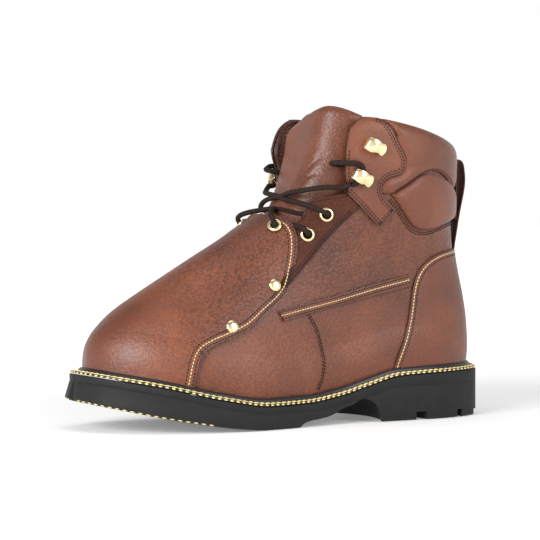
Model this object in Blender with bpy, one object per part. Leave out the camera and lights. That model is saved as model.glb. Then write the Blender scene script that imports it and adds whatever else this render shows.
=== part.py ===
"""Metatarsal guard boot for the left foot, standing empty on its lugged sole.

Metres, +Z up. The toe points to -Y and the boot's outer (lateral) side to +X. The origin is on the
heel's resting face. A station is the distance forward from the rear of the sole.
"""

import math

import bmesh
import bpy
import numpy as np
from mathutils import Matrix, Vector

# Driving sizes
SOLE_LENGTH = 0.313
SOLE_BACK = -0.002
HEEL_BACK = 0.040
GAP = 0.0003
SEAT = 0.0006
WALL = 0.0024
COLLAR_WALL = 0.0070
GUARD_THICKNESS = 0.0030
OVERLAY_THICKNESS = 0.0015
PAD_THICKNESS = 0.0030
LACE_DIAMETER = 0.0038
OVERLAY_SEAT = 2 * GAP + OVERLAY_THICKNESS + 0.0005
GUARD_SEAT = 2 * GAP + GUARD_THICKNESS + 0.0004
GUARD_EYELET_SEAT = GUARD_SEAT + 0.0013
WELT_TOP = 0.0050
WELT_SHELF = 0.0016
INSOLE_THICKNESS = 0.0040
TONGUE_THICKNESS = 0.0040
TOE_FLARE = 0.0030
LAST_BACK = 0.0065
LAST_FRONT = 0.2992
LAST_SHARE = 0.82
TIP_OFFSET = -0.0065
FOOT_BULGE = 0.0016
BULGE_HEIGHT = 0.030
DOME_POWER = 2.3
ROUND_BACK = 0.88
SQUARE_FRONT = {1: 0.55, -1: 0.45}
MEDIAL_LEAN = 0.0030
COLLAR_ROLL = 0.0040
ROLL_HEIGHT = 0.0100
POINTS_AROUND = 40
SOLE_SECTIONS = 32
LEVELS = (0, 0.034, 0.07, 0.14, 0.22, 0.31, 0.40, 0.49, 0.58, 0.67, 0.76, 0.85, 0.94, 1.0)
TONGUE_LEVELS = LEVELS + (1.05, 1.10)

# station, lateral half width, medial half width of the midsole's upper edge
SOLE_OUTLINE = (
    (-0.002, 0.0000, 0.0000),
    (0.004, 0.0190, 0.0185),
    (0.017, 0.0290, 0.0290),
    (0.040, 0.0372, 0.0370),
    (0.069, 0.0392, 0.0382),
    (0.101, 0.0400, 0.0345),
    (0.132, 0.0425, 0.0325),
    (0.164, 0.0490, 0.0380),
    (0.195, 0.0550, 0.0480),
    (0.227, 0.0560, 0.0560),
    (0.250, 0.0520, 0.0570),
    (0.274, 0.0420, 0.0520),
    (0.292, 0.0290, 0.0425),
    (0.305, 0.0130, 0.0290),
    (0.311, -0.0080, 0.0080),
)

# station, midsole's upper edge, midsole's lower edge
SOLE_HEIGHTS = (
    (0.000, 0.0335, 0.0250),
    (0.080, 0.0313, 0.0240),
    (0.105, 0.0255, 0.0190),
    (0.130, 0.0193, 0.0135),
    (0.160, 0.0158, 0.0108),
    (0.190, 0.0155, 0.0108),
    (0.230, 0.0212, 0.0165),
    (0.265, 0.0295, 0.0248),
    (0.300, 0.0362, 0.0315),
    (0.315, 0.0390, 0.0343),
)

# station, lowest point of the tread
TREAD_HEIGHTS = (
    (0.000, 0.0000),
    (0.195, 0.0000),
    (0.220, 0.0020),
    (0.245, 0.0055),
    (0.270, 0.0102),
    (0.295, 0.0160),
    (0.315, 0.0208),
)

# height, station of the toe and instep line under the guard, then of the tongue's front
RIDGE = (
    (0.050, 0.2992),
    (0.0575, 0.2975),
    (0.0643, 0.2932),
    (0.0708, 0.2872),
    (0.0765, 0.2810),
    (0.0823, 0.2733),
    (0.0891, 0.2628),
    (0.0971, 0.2502),
    (0.1131, 0.2238),
    (0.1301, 0.1943),
    (0.1470, 0.1700),
    (0.1620, 0.1600),
    (0.1800, 0.1530),
    (0.2000, 0.1480),
    (0.2350, 0.1410),
)

# height, station of the back seam
BACK_SEAM = (
    (0.030, 0.0080),
    (0.050, 0.0060),
    (0.066, 0.0065),
    (0.084, 0.0090),
    (0.100, 0.0125),
    (0.120, 0.0165),
    (0.150, 0.0195),
    (0.205, 0.0205),
)

# station, height of the collar's edge
COLLAR_EDGE = (
    (0.010, 0.1930),
    (0.030, 0.1975),
    (0.050, 0.2030),
    (0.080, 0.2100),
    (0.110, 0.2145),
    (0.130, 0.2150),
    (0.315, 0.2150),
)

# height, lateral and medial half width of the shaft
SHAFT_WIDTHS = (
    (0.060, 0.0390, 0.0380),
    (0.100, 0.0385, 0.0370),
    (0.130, 0.0400, 0.0385),
    (0.160, 0.0430, 0.0420),
    (0.190, 0.0460, 0.0455),
    (0.215, 0.0470, 0.0465),
)

# height, lateral and medial reach of the throat's opening
THROAT = (
    (0.104, 0.0040, 0.0040),
    (0.110, 0.0140, 0.0140),
    (0.122, 0.0220, 0.0220),
    (0.140, 0.0280, 0.0295),
    (0.155, 0.0290, 0.0350),
    (0.162, 0.0395, 0.0365),
    (0.175, 0.0398, 0.0365),
    (0.195, 0.0402, 0.0320),
    (0.240, 0.0420, 0.0260),
)

# x, height of the tongue's top edge
TONGUE_TOP = (
    (-0.040, 0.1960),
    (-0.030, 0.2070),
    (-0.015, 0.2160),
    (0.000, 0.2205),
    (0.015, 0.2225),
    (0.028, 0.2205),
    (0.040, 0.2150),
)

# half width and height of the tongue's sides, from its root up
TONGUE_SIDE = ((0.0280, 0.1000), (0.0340, 0.1500), (0.0400, 0.1700))

# height, depth of the tongue under the upper's outer face
TONGUE_DEPTH_ROWS = ((0.090, 0.0048), (0.120, 0.0052), (0.140, 0.0078), (0.155, 0.0092), (0.180, 0.0100), (0.240, 0.0100))

# Side outlines as (station, height): where each overlay is cut from its shell
GUARD_BORDER = (
    (0.2470, 0.0100),
    (0.2440, 0.0400),
    (0.2400, 0.0510),
    (0.2300, 0.0575),
    (0.2150, 0.0630),
    (0.2020, 0.0690),
    (0.1900, 0.0775),
    (0.1780, 0.0860),
    (0.1700, 0.0945),
    (0.1650, 0.1060),
    (0.1620, 0.1160),
    (0.1600, 0.1280),
    (0.1603, 0.1360),
    (0.1625, 0.1410),
    (0.1670, 0.1440),
    (0.1730, 0.1446),
)
COUNTER_BORDER = (
    (0.0850, 0.0250),
    (0.0810, 0.0420),
    (0.0740, 0.0590),
    (0.0690, 0.0780),
    (0.0660, 0.0950),
    (0.0600, 0.1070),
    (0.0490, 0.1150),
    (0.0300, 0.1200),
    (0.0000, 0.1220),
)
STRIP_LOW = ((0.1750, 0.0725), (0.1500, 0.0780), (0.1280, 0.0825), (0.1000, 0.0880), (0.0690, 0.0945))
STRIP_TOP = ((0.0690, 0.1035), (0.1000, 0.0970), (0.1280, 0.0905), (0.1500, 0.0860), (0.1790, 0.0800))
EYESTAY_BACK = ((0.1705, 0.0960), (0.1610, 0.1050), (0.1500, 0.1170), (0.1360, 0.1320), (0.1150, 0.1510))
PANEL_OUTLINE = (
    (0.1700, 0.1640),
    (0.1280, 0.1640),
    (0.0990, 0.1370),
    (0.0870, 0.1500),
    (0.0985, 0.1600),
    (0.0995, 0.1665),
    (0.0950, 0.1720),
    (0.0840, 0.1760),
    (0.0815, 0.1830),
    (0.0860, 0.1930),
    (0.0930, 0.2055),
    (0.1010, 0.2140),
    (0.1050, 0.2200),
    (0.1700, 0.2200),
)
CUFF_SEAM = (
    (0.0905, 0.1605),
    (0.0780, 0.1675),
    (0.0660, 0.1745),
    (0.0540, 0.1770),
    (0.0430, 0.1740),
    (0.0310, 0.1670),
    (0.0000, 0.1620),
)
PAD_LOWER = (
    (0.0000, 0.1430),
    (0.0260, 0.1420),
    (0.0440, 0.1375),
    (0.0560, 0.1350),
    (0.0680, 0.1370),
    (0.0770, 0.1450),
    (0.0900, 0.1590),
)

# station, height of the metal pieces
EYELETS = ((0.1530, 0.1320), (0.1390, 0.1460))
HOOKS = {
    1: ((0.1185, 0.1735), (0.1095, 0.1950)),
    -1: ((0.1350, 0.1725), (0.1260, 0.1940)),
}
GUARD_EYELET = (0.1718, 0.1362)
RIVETS = ((0.2170, 0.0700, GUARD_SEAT - 0.0009), (0.1810, 0.0970, GUARD_SEAT))
EYELET_RADIUS = 0.0052
EYELET_TOP = OVERLAY_SEAT + 0.0016
EYELET_BORE = 0.0026
RIVET_RADIUS = 0.0045
HOOK_RADIUS = 0.0043

# name: colour, roughness, metallic
FINISHES = {
    "brown_leather": ((0.165, 0.052, 0.026), 0.45, 0.0),
    "black_rubber": ((0.022, 0.021, 0.022), 0.60, 0.0),
    "brass": ((0.780, 0.600, 0.300), 0.25, 1.0),
    "brown_lace": ((0.030, 0.017, 0.012), 0.85, 0.0),
    "lining": ((0.045, 0.030, 0.022), 0.90, 0.0),
}


# Curves through the tables
def curve_through(rows, column=1):
    """A smooth curve through a table's rows that never overshoots them."""
    x = np.array([row[0] for row in rows], float)
    y = np.array([row[column] for row in rows], float)
    step = np.diff(x)
    slope = np.diff(y) / step
    tangent = np.zeros(len(x))
    for i in range(1, len(x) - 1):
        if slope[i - 1] * slope[i] > 0:
            before = 2 * step[i] + step[i - 1]
            after = step[i] + 2 * step[i - 1]
            tangent[i] = (before + after) / (before / slope[i - 1] + after / slope[i])
    tangent[0], tangent[-1] = slope[0], slope[-1]

    def value(at):
        at = np.clip(np.asarray(at, float), x[0], x[-1])
        i = np.clip(np.searchsorted(x, at, side="right") - 1, 0, len(x) - 2)
        t = (at - x[i]) / step[i]
        start = (1 + 2 * t) * (1 - t) ** 2 * y[i] + t * (1 - t) ** 2 * step[i] * tangent[i]
        end = t * t * (3 - 2 * t) * y[i + 1] + t * t * (t - 1) * step[i] * tangent[i + 1]
        return start + end

    return value


def spline_through(x, y):
    """A natural cubic spline, for an outline that has to swing freely."""
    count = len(x)
    step = np.diff(x)
    system = np.eye(count)
    right = np.zeros(count)
    for i in range(1, count - 1):
        system[i, i - 1 : i + 2] = step[i - 1], 2 * (step[i - 1] + step[i]), step[i]
        right[i] = 6 * ((y[i + 1] - y[i]) / step[i] - (y[i] - y[i - 1]) / step[i - 1])
    bend = np.linalg.solve(system, right)

    def value(at):
        at = np.clip(np.asarray(at, float), x[0], x[-1])
        i = np.clip(np.searchsorted(x, at, side="right") - 1, 0, count - 2)
        to_end, from_start = x[i + 1] - at, at - x[i]
        curved = (bend[i] * to_end**3 + bend[i + 1] * from_start**3) / (6 * step[i])
        first = (y[i] / step[i] - bend[i] * step[i] / 6) * to_end
        second = (y[i + 1] / step[i] - bend[i + 1] * step[i] / 6) * from_start
        return curved + first + second

    return value


def smooth(value, low, high):
    share = np.clip((np.asarray(value, float) - low) / (high - low), 0, 1)
    return share * share * (3 - 2 * share)


def turn_of(share):
    """The angle round an oval at a share of its length."""
    return np.arccos(np.clip(1 - 2 * np.asarray(share, float), -1, 1))


outline_turns = turn_of((np.array([row[0] for row in SOLE_OUTLINE]) - SOLE_BACK) / SOLE_LENGTH)
sole_half = {
    1: spline_through(outline_turns, np.array([row[1] for row in SOLE_OUTLINE])),
    -1: spline_through(outline_turns, np.array([row[2] for row in SOLE_OUTLINE])),
}
midsole_top = curve_through(SOLE_HEIGHTS, 1)
midsole_bottom = curve_through(SOLE_HEIGHTS, 2)
tread_bottom = curve_through(TREAD_HEIGHTS)
ridge_station = curve_through(RIDGE)
back_station = curve_through(BACK_SEAM)
collar_height = curve_through(COLLAR_EDGE)
tongue_depth = curve_through(TONGUE_DEPTH_ROWS)
shaft_half = {1: curve_through(SHAFT_WIDTHS, 1), -1: curve_through(SHAFT_WIDTHS, 2)}
ridge_samples = np.linspace(RIDGE[-1][0], RIDGE[0][0], 600)


def ridge_height(station):
    """Height of the toe and instep line over a station."""
    return np.interp(station, ridge_station(ridge_samples), ridge_samples)


def feather_height(station):
    """Where the leather leaves the welt."""
    return midsole_top(station) + WELT_TOP


# The upper's own surface
def level_height(station, level):
    floor = midsole_top(station) + SEAT
    return floor + (collar_height(station) - floor) * level


def level_ends(level):
    """Stations where the loop at this level meets the back seam and the toe or instep line."""
    stations = np.linspace(0.12, LAST_FRONT, 1500)
    room = ridge_height(stations) - level_height(stations, level)
    last = np.where(room >= 0)[0][-1]
    front = stations[last]
    if last < len(stations) - 1:
        share = room[last] / (room[last] - room[last + 1])
        front += (stations[last + 1] - stations[last]) * share
    back = 0.012
    for _ in range(6):
        back = float(back_station(level_height(back, level)))
    return back, front


def body_points(side, turn, level):
    """Points on the upper's outer face, by the angle round the loop at one level."""
    back, front = level_ends(level)
    station = back + (front - back) * (1 - np.cos(turn)) / 2
    height = level_height(station, level)
    feather = feather_height(station)
    rise = np.clip((height - feather) / np.maximum(ridge_height(station) - feather, 1e-6), 0, 1)
    shift = (back - LAST_BACK) * (1 - smooth(station, back, back + 0.10))
    share = np.clip((station - shift - LAST_BACK) / (LAST_FRONT - LAST_BACK), 0, 1)
    inset = LAST_SHARE + 0.04 * share
    half = sole_half[side](turn_of(share)) * inset
    tip = TIP_OFFSET * smooth(station, 0.22, LAST_FRONT)
    over_welt = np.clip((height - feather) / BULGE_HEIGHT, 0, 1)
    bulge = 1 + FOOT_BULGE * np.sin(np.pi * over_welt) / 0.045
    foot = side * tip + (half - side * tip) * np.sqrt(1 - rise**DOME_POWER) * bulge
    front_share = smooth(turn, math.pi / 2 - 0.2, math.pi / 2 + 0.7) * smooth(height, 0.135, 0.175)
    power = ROUND_BACK + (SQUARE_FRONT[side] - ROUND_BACK) * front_share
    shaft = shaft_half[side](height) * np.maximum(np.sin(turn), 0) ** power
    shaft_share = smooth(height, 0.065, 0.165)
    x = side * (foot * (1 - shaft_share) + shaft * shaft_share)
    corner = smooth(turn, 1.8, 2.6) * (1 - smooth(turn, 2.75, math.pi)) * smooth(height, 0.165, 0.215)
    lean = MEDIAL_LEAN * corner if side < 0 else 0
    return np.stack([x, HEEL_BACK - station - lean, height], -1)


def body_loop(level):
    """One closed loop: up the lateral side from the back seam to the front and back down the medial."""
    turns = np.linspace(0, math.pi, POINTS_AROUND // 2 + 1)
    lateral = body_points(1, turns, level)
    medial = body_points(-1, turns, level)
    return np.concatenate([lateral, medial[-2:0:-1]])


def outward(grid):
    """Unit normals of a grid of closed loops."""
    around = np.roll(grid, -1, axis=1) - np.roll(grid, 1, axis=1)
    up = np.gradient(grid, axis=0)
    normal = np.cross(up, around)
    return normal / np.maximum(np.linalg.norm(normal, axis=-1, keepdims=True), 1e-9)


def roll_in(grid):
    """The collar's edge rolls inwards over its last centimetre."""
    top = collar_height(HEEL_BACK - grid[..., 1])
    share = np.clip((grid[..., 2] - top + ROLL_HEIGHT) / ROLL_HEIGHT, 0, 1)
    return COLLAR_ROLL * (1 - np.sqrt(np.maximum(1 - share**2 * 0.98, 0)))


def body_grid(levels=LEVELS):
    grid = np.array([body_loop(level) for level in levels])
    normal = outward(grid)
    flat = normal * (1, 1, 0)
    return grid - flat * roll_in(grid)[..., None], normal


def skin(side, station, height):
    """A point of the outer face and its outward direction, by station and height."""
    level = float((height - level_height(station, 0)) / (level_height(station, 1) - level_height(station, 0)))
    back, front = level_ends(level)
    turn = float(turn_of((station - back) / (front - back)))
    near = 0.01
    here = body_points(side, np.array([turn - near, turn, turn + near]), level)
    above = body_points(side, np.array([turn]), level + near)[0]
    below = body_points(side, np.array([turn]), level - near)[0]
    direction = np.cross(here[2] - here[0], above - below)
    direction = Vector(direction / np.linalg.norm(direction))
    if direction.x * side < 0:
        direction = -direction
    return Vector(here[1]), direction


# Scene, collections and materials
for old in list(bpy.data.objects):
    bpy.data.objects.remove(old)

boot_collection = bpy.data.collections.new("metatarsal_guard_boot")
cutter_collection = bpy.data.collections.new("cutters")
bpy.context.scene.collection.children.link(boot_collection)
bpy.context.scene.collection.children.link(cutter_collection)


def finish(name):
    material = bpy.data.materials.get(name) or bpy.data.materials.new(name)
    material.use_nodes = True
    colour, roughness, metallic = FINISHES[name]
    shader = material.node_tree.nodes["Principled BSDF"]
    shader.inputs["Base Color"].default_value = (*colour, 1)
    shader.inputs["Roughness"].default_value = roughness
    shader.inputs["Metallic"].default_value = metallic
    return material


def add_object(name, mesh, material=None):
    made = bpy.data.objects.new(name, mesh)
    if material:
        boot_collection.objects.link(made)
        mesh.materials.append(finish(material))
        mesh.shade_smooth()
        mesh.set_sharp_from_angle(angle=math.radians(35))
    else:
        cutter_collection.objects.link(made)
        made.hide_render = True
        made.display_type = "WIRE"
    return made


# Lofts
def mesh_of(name, points, faces):
    shape = bmesh.new()
    corners = [shape.verts.new(point) for point in points]
    for face in faces:
        shape.faces.new([corners[i] for i in face])
    bmesh.ops.remove_doubles(shape, verts=shape.verts, dist=1e-6)
    bmesh.ops.recalc_face_normals(shape, faces=shape.faces)
    mesh = bpy.data.meshes.new(name)
    shape.to_mesh(mesh)
    shape.free()
    return mesh


def ring_mesh(name, rings):
    """Closed loops joined one after another, and the last back to the first: a hollow form."""
    rows, count = len(rings), len(rings[0])
    faces = []
    for i in range(rows):
        for j in range(count):
            k, m = (i + 1) % rows, (j + 1) % count
            faces.append((i * count + j, i * count + m, k * count + m, k * count + j))
    return mesh_of(name, np.concatenate(rings), faces)


def row_mesh(name, rows):
    """Closed sections joined one after another, with the first and last filled: a solid form."""
    total, count = len(rows), len(rows[0])
    faces = [tuple(range(count)), tuple((total - 1) * count + j for j in range(count))]
    for i in range(total - 1):
        for j in range(count):
            m = (j + 1) % count
            faces.append((i * count + j, i * count + m, (i + 1) * count + m, (i + 1) * count + j))
    return mesh_of(name, np.concatenate(rows), faces)


def wall_mesh(name, outer, inner):
    """A hollow wall between two grids of loops, whose facets are split the same way on both."""
    rows, count = outer.shape[:2]
    inner_start = rows * count
    faces = []
    for j in range(count):
        m = (j + 1) % count
        for i in range(rows - 1):
            for start in (0, inner_start):
                a, b = start + i * count + j, start + i * count + m
                c, d = start + (i + 1) * count + m, start + (i + 1) * count + j
                faces += [(a, b, c), (a, c, d)]
        for i in (0, rows - 1):
            a, b = i * count + j, i * count + m
            faces.append((a, b, inner_start + b, inner_start + a))
    return mesh_of(name, np.concatenate([*outer, *inner]), faces)


def shell_mesh(name, low, high, levels=LEVELS):
    """The solid between two offsets of the upper's outer face."""
    grid, normal = body_grid(levels)
    return wall_mesh(name, grid + normal * high, grid + normal * low)


def side_prism(name, outline, low_x=-0.08, high_x=0.08):
    """A cutter: a side outline of (station, height) drawn out across the boot."""
    rows = [[(x, HEEL_BACK - station, height) for station, height in outline] for x in (low_x, high_x)]
    return add_object(name, row_mesh(name, np.array(rows)))


def front_prism(name, outline, low_station, high_station):
    """A cutter: a front outline of (x, height) drawn out along the boot."""
    rows = []
    for station in (low_station, high_station):
        rows.append([(x, HEEL_BACK - station, height) for x, height in outline])
    return add_object(name, row_mesh(name, np.array(rows)))


def boolean(target, cutter, operation):
    modifier = target.modifiers.new(cutter.name, "BOOLEAN")
    modifier.object = cutter
    modifier.operation = operation
    modifier.solver = "EXACT"


def grown(outline, by):
    """A closed outline moved outwards all round."""
    points = np.array(outline, float)
    before = points - np.roll(points, 1, axis=0)
    after = np.roll(points, -1, axis=0) - points
    across = []
    for way in (before, after):
        normal = np.stack([way[:, 1], -way[:, 0]], -1)
        across.append(normal / np.linalg.norm(normal, axis=1, keepdims=True))
    corner = across[0] + across[1]
    corner /= np.maximum((corner * corner).sum(axis=1, keepdims=True) / 2, 0.2)
    area = (points[:, 0] * np.roll(points[:, 1], -1) - np.roll(points[:, 0], -1) * points[:, 1]).sum()
    return points + corner * by * np.sign(area)


def feather_line(first, last, steps=9, lift=0.0014):
    """The welt's upper edge as a run of outline points, from one station to another."""
    stations = np.linspace(first, last, steps)
    return [(float(s), float(feather_height(s)) + lift) for s in stations]


# Sole
def sole_section(station_share, top, bottom, inset=0.0, flare=0.0, waist=True):
    """One closed cross section of a sole layer, from lateral bottom round to medial bottom."""
    turn = station_share * math.pi
    station = SOLE_BACK + SOLE_LENGTH * (1 - math.cos(turn)) / 2
    lateral = float(sole_half[1](turn))
    medial = float(sole_half[-1](turn))
    middle = (lateral - medial) / 2
    half = max((lateral + medial) / 2 - inset, 0.0002)
    spread = flare * smooth(station, 0.15, 0.31)
    y_low = HEEL_BACK - station
    y_low -= flare * float(smooth(station, 0.24, 0.31))
    ease = 1 - 2 * inset / SOLE_LENGTH
    centre = SOLE_LENGTH / 2 - HEEL_BACK
    y_high = (HEEL_BACK - station + centre) * ease - centre
    y_low = (y_low + centre) * ease - centre
    high, low = float(top(station)), float(bottom(station))
    wide = half + float(spread)
    return [
        (middle + wide, y_low, low),
        (middle + half, y_high, high),
        (middle, y_high, high),
        (middle - half, y_high, high),
        (middle - wide, y_low, low),
        (middle, y_low, low),
    ]


def section_shares():
    """Shares of the half turn at which every sole layer has its sections, so that facets match."""
    return [0.012] + [i / SOLE_SECTIONS for i in range(1, SOLE_SECTIONS)] + [0.988]


def sole_layer(name, top, bottom, inset=0.0, flare=0.0):
    return row_mesh(name, np.array([sole_section(share, top, bottom, inset, flare) for share in section_shares()]))


def make_midsole():
    mesh = sole_layer("midsole", midsole_top, lambda s: midsole_bottom(s) + GAP)
    return add_object("midsole", mesh, "black_rubber")


ARCH_OUTLINE = (
    (0.0960, -0.0050),
    (0.0975, 0.0050),
    (0.1000, 0.0110),
    (0.1050, 0.0152),
    (0.1110, 0.0170),
    (0.1210, 0.0130),
    (0.1270, 0.0115),
    (0.1365, 0.0075),
    (0.1560, 0.0042),
    (0.1670, 0.0000),
    (0.1690, -0.0050),
)
BREAST_HALF = 0.040
BREAST_DEPTH = 0.012
GROOVE_WIDTH = 0.0050
FOREPART_GROOVES = (0.176, 0.194, 0.212, 0.230, 0.248, 0.266, 0.284)
HEEL_GROOVES = (0.027, 0.0625)
HEEL_BEVEL = (0.0085, 0.0040)
LUG_DEPTH = 0.0045
EDGE_MARGIN = 0.011


def arch_cutter():
    """Takes away the hollow between heel and forepart, with the heel's front face curved in."""
    rows = []
    for x in np.linspace(-0.060, 0.060, 13):
        curve = BREAST_DEPTH * max(1 - (x / BREAST_HALF) ** 2, -0.15)
        row = []
        for station, height in ARCH_OUTLINE:
            moved = station - curve * float(1 - smooth(station, 0.100, 0.112))
            row.append((x, HEEL_BACK - moved, height))
        rows.append(row)
    return add_object("arch_cutter", row_mesh("arch_cutter", np.array(rows)))


def groove_cutter(station, width, half, depth):
    """A channel across the tread that follows its lift from the floor."""
    turn = turn_of((station - SOLE_BACK) / SOLE_LENGTH)
    middle = float(sole_half[1](turn) - sole_half[-1](turn)) / 2
    low, high = station - width / 2, station + width / 2
    bottom_low, bottom_high = float(tread_bottom(low)), float(tread_bottom(high))
    rows = []
    for x in (middle - half, middle + half):
        rows.append([
            (x, HEEL_BACK - low, bottom_low - 0.02),
            (x, HEEL_BACK - high, bottom_high - 0.02),
            (x, HEEL_BACK - high, bottom_high + depth),
            (x, HEEL_BACK - low, bottom_low + depth),
        ])
    name = f"groove_{round(station * 1000)}"
    return add_object(name, row_mesh(name, np.array(rows)))


def make_outsole():
    mesh = sole_layer("outsole", midsole_bottom, tread_bottom, flare=TOE_FLARE)
    outsole = add_object("outsole", mesh, "black_rubber")
    boolean(outsole, arch_cutter(), "DIFFERENCE")
    for station in FOREPART_GROOVES:
        turn = turn_of((station - SOLE_BACK) / SOLE_LENGTH)
        half = float(sole_half[1](turn) + sole_half[-1](turn)) / 2 - EDGE_MARGIN
        boolean(outsole, groove_cutter(station, GROOVE_WIDTH, half, LUG_DEPTH), "DIFFERENCE")
    for station in HEEL_GROOVES:
        boolean(outsole, groove_cutter(station, 0.0090 if station > 0.05 else GROOVE_WIDTH, 0.060, 0.0055), "DIFFERENCE")
    boolean(outsole, groove_cutter(HEEL_BEVEL[0] / 2 - 0.002, HEEL_BEVEL[0] + 0.004, 0.060, HEEL_BEVEL[1]), "DIFFERENCE")
    return outsole


def base_loop(offset):
    """The upper's lower edge, moved outwards by an offset and laid flat on the midsole."""
    grid, normal = body_grid(LEVELS[:3])
    flat = normal[0] * (1, 1, 0)
    flat /= np.linalg.norm(flat, axis=-1, keepdims=True)
    loop = grid[0] + flat * offset
    return loop


def sole_edge_loop(inset):
    """The midsole's upper edge with the same point count as the upper's loops."""
    turns = np.linspace(0, math.pi, POINTS_AROUND // 2 + 1)
    sides = []
    for side in (1, -1):
        station = SOLE_BACK + SOLE_LENGTH * (1 - np.cos(turns)) / 2
        half = sole_half[side](turns)
        sides.append(np.stack([side * half, HEEL_BACK - station, midsole_top(station)], -1))
    loop = np.concatenate([sides[0], sides[1][-2:0:-1]])
    inner = base_loop(2 * GAP)
    toward = inner - loop
    toward[:, 2] = 0
    toward /= np.linalg.norm(toward, axis=-1, keepdims=True)
    return loop + toward * inset


def make_welt():
    """A flat strip that carries the lockstitch, with a rounded bead against the leather."""
    outer = sole_edge_loop(0.0008)
    inner = base_loop(2 * GAP)
    profile = (
        (0.00, 0.0),
        (0.00, WELT_SHELF),
        (0.44, WELT_SHELF + 0.0002),
        (0.54, WELT_TOP * 0.78),
        (0.72, WELT_TOP),
        (0.90, WELT_TOP * 0.94),
        (1.00, WELT_TOP * 0.70),
        (1.00, 0.0),
    )
    rings = []
    for share, height in profile:
        ring = outer + (inner - outer) * share
        ring[:, 2] = midsole_top(HEEL_BACK - ring[:, 1]) + SEAT + height
        rings.append(ring)
    return add_object("welt", ring_mesh("welt", rings), "black_rubber")


def make_insole():
    """The board and footbed inside the upper, on the midsole."""
    edge = base_loop(-WALL - 3 * GAP)
    half_count = POINTS_AROUND // 2
    stations = HEEL_BACK - edge[:, 1]
    lateral = np.argsort(stations[: half_count + 1])
    medial = np.r_[np.arange(half_count, POINTS_AROUND), 0]
    medial = medial[np.argsort(stations[medial])]
    rows = []
    for share in section_shares():
        station = SOLE_BACK + SOLE_LENGTH * (1 - math.cos(share * math.pi)) / 2
        if not stations.min() < station < stations.max():
            continue
        right = float(np.interp(station, stations[lateral], edge[lateral, 0]))
        left = float(np.interp(station, stations[medial], edge[medial, 0]))
        low = float(midsole_top(station)) + GAP
        high = low + INSOLE_THICKNESS
        y = HEEL_BACK - station
        rows.append([(right, y, low), (right, y, high), (left, y, high), (left, y, low)])
    return add_object("insole", row_mesh("insole", np.array(rows)), "lining")


# Upper and what is sewn to it
def throat_cutter(name):
    """The opening over the instep: wider at the shaft, with a rounded lower end."""
    rows = []
    for height, lateral, medial in THROAT:
        rows.append([
            (lateral, HEEL_BACK - 0.090, height),
            (lateral, HEEL_BACK - 0.300, height),
            (-medial, HEEL_BACK - 0.300, height),
            (-medial, HEEL_BACK - 0.090, height),
        ])
    return add_object(name, row_mesh(name, np.array(rows)))


def bore_cutter(name, side, station, height, radius):
    place, direction = skin(side, station, height)
    mesh = bpy.data.meshes.new(name)
    shape = bmesh.new()
    bmesh.ops.create_cone(shape, cap_ends=True, segments=12, radius1=radius, radius2=radius, depth=0.020)
    shape.to_mesh(mesh)
    shape.free()
    turned = direction.to_track_quat("Z", "Y").to_matrix().to_4x4()
    mesh.transform(Matrix.Translation(place) @ turned)
    return add_object(name, mesh)


def make_upper():
    grid, normal = body_grid()
    stations = HEEL_BACK - grid[..., 1]
    to_collar = collar_height(stations) - grid[..., 2]
    thick = WALL + (COLLAR_WALL - WALL) * (1 - smooth(to_collar, 0.012, 0.045)) * (1 - smooth(stations, 0.060, 0.090))
    inner = grid - normal * thick[..., None]
    mesh = wall_mesh("upper", grid, inner)
    upper = add_object("upper", mesh, "brown_leather")
    boolean(upper, throat_cutter("throat_cutter"), "DIFFERENCE")
    for side, word in ((1, "lateral"), (-1, "medial")):
        for i, (station, height) in enumerate(EYELETS):
            cutter = bore_cutter(f"upper_bore_{word}_{i + 1}", side, station, height, EYELET_BORE + 0.0012)
            boolean(upper, cutter, "DIFFERENCE")
    return upper


def make_overlay(name, outline, low, high, material="brown_leather", low_x=-0.08, high_x=0.08):
    overlay = add_object(name, shell_mesh(name, low, high), material)
    boolean(overlay, side_prism(name + "_outline", outline, low_x, high_x), "INTERSECT")
    return overlay


def make_guard():
    """The stiff metatarsal piece that covers toe and instep, from the welt up to its laced end."""
    outline = [*feather_line(0.2470, 0.330, 12), (0.330, GUARD_BORDER[-1][1]), *GUARD_BORDER[:0:-1]]
    guard = make_overlay("guard", outline, GAP, GAP + GUARD_THICKNESS)
    for side, word in ((1, "lateral"), (-1, "medial")):
        cutter = bore_cutter(f"guard_bore_{word}", side, *GUARD_EYELET, EYELET_BORE + 0.0012)
        boolean(guard, cutter, "DIFFERENCE")
    return guard


def make_counter():
    outline = [*feather_line(-0.010, 0.0840, 7), *COUNTER_BORDER[1:], (-0.010, 0.1222)]
    return make_overlay("heel_counter", outline, GAP, GAP + OVERLAY_THICKNESS)


def make_side_pieces(side, word):
    low_x, high_x = (0.0, 0.08) if side > 0 else (-0.08, 0.0)
    strip = [*STRIP_LOW, *STRIP_TOP]
    make_overlay(f"side_strip_{word}", strip, GAP, GAP + OVERLAY_THICKNESS, "brown_leather", low_x, high_x)

    border = [(s - 0.0006, z) for s, z in GUARD_BORDER[8:]]
    facing_outline = [*EYESTAY_BACK[1:], (0.1275, 0.1632), (0.1800, 0.1632), (0.1800, 0.1452), *border[:1:-1]]
    facing = make_overlay(f"eyestay_{word}", facing_outline, GAP, GAP + OVERLAY_THICKNESS, "brown_leather", low_x, high_x)
    boolean(facing, bpy.data.objects["throat_cutter"], "DIFFERENCE")
    boolean(facing, side_prism(f"panel_clearance_{word}", grown(PANEL_OUTLINE, 0.0004)), "DIFFERENCE")
    for i in range(len(EYELETS)):
        boolean(facing, bpy.data.objects[f"upper_bore_{word}_{i + 1}"], "DIFFERENCE")

    name = f"hook_panel_{word}"
    panel = make_overlay(name, PANEL_OUTLINE, GAP, GAP + OVERLAY_THICKNESS, "brown_leather", low_x, high_x)
    boolean(panel, bpy.data.objects["throat_cutter"], "DIFFERENCE")


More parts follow.
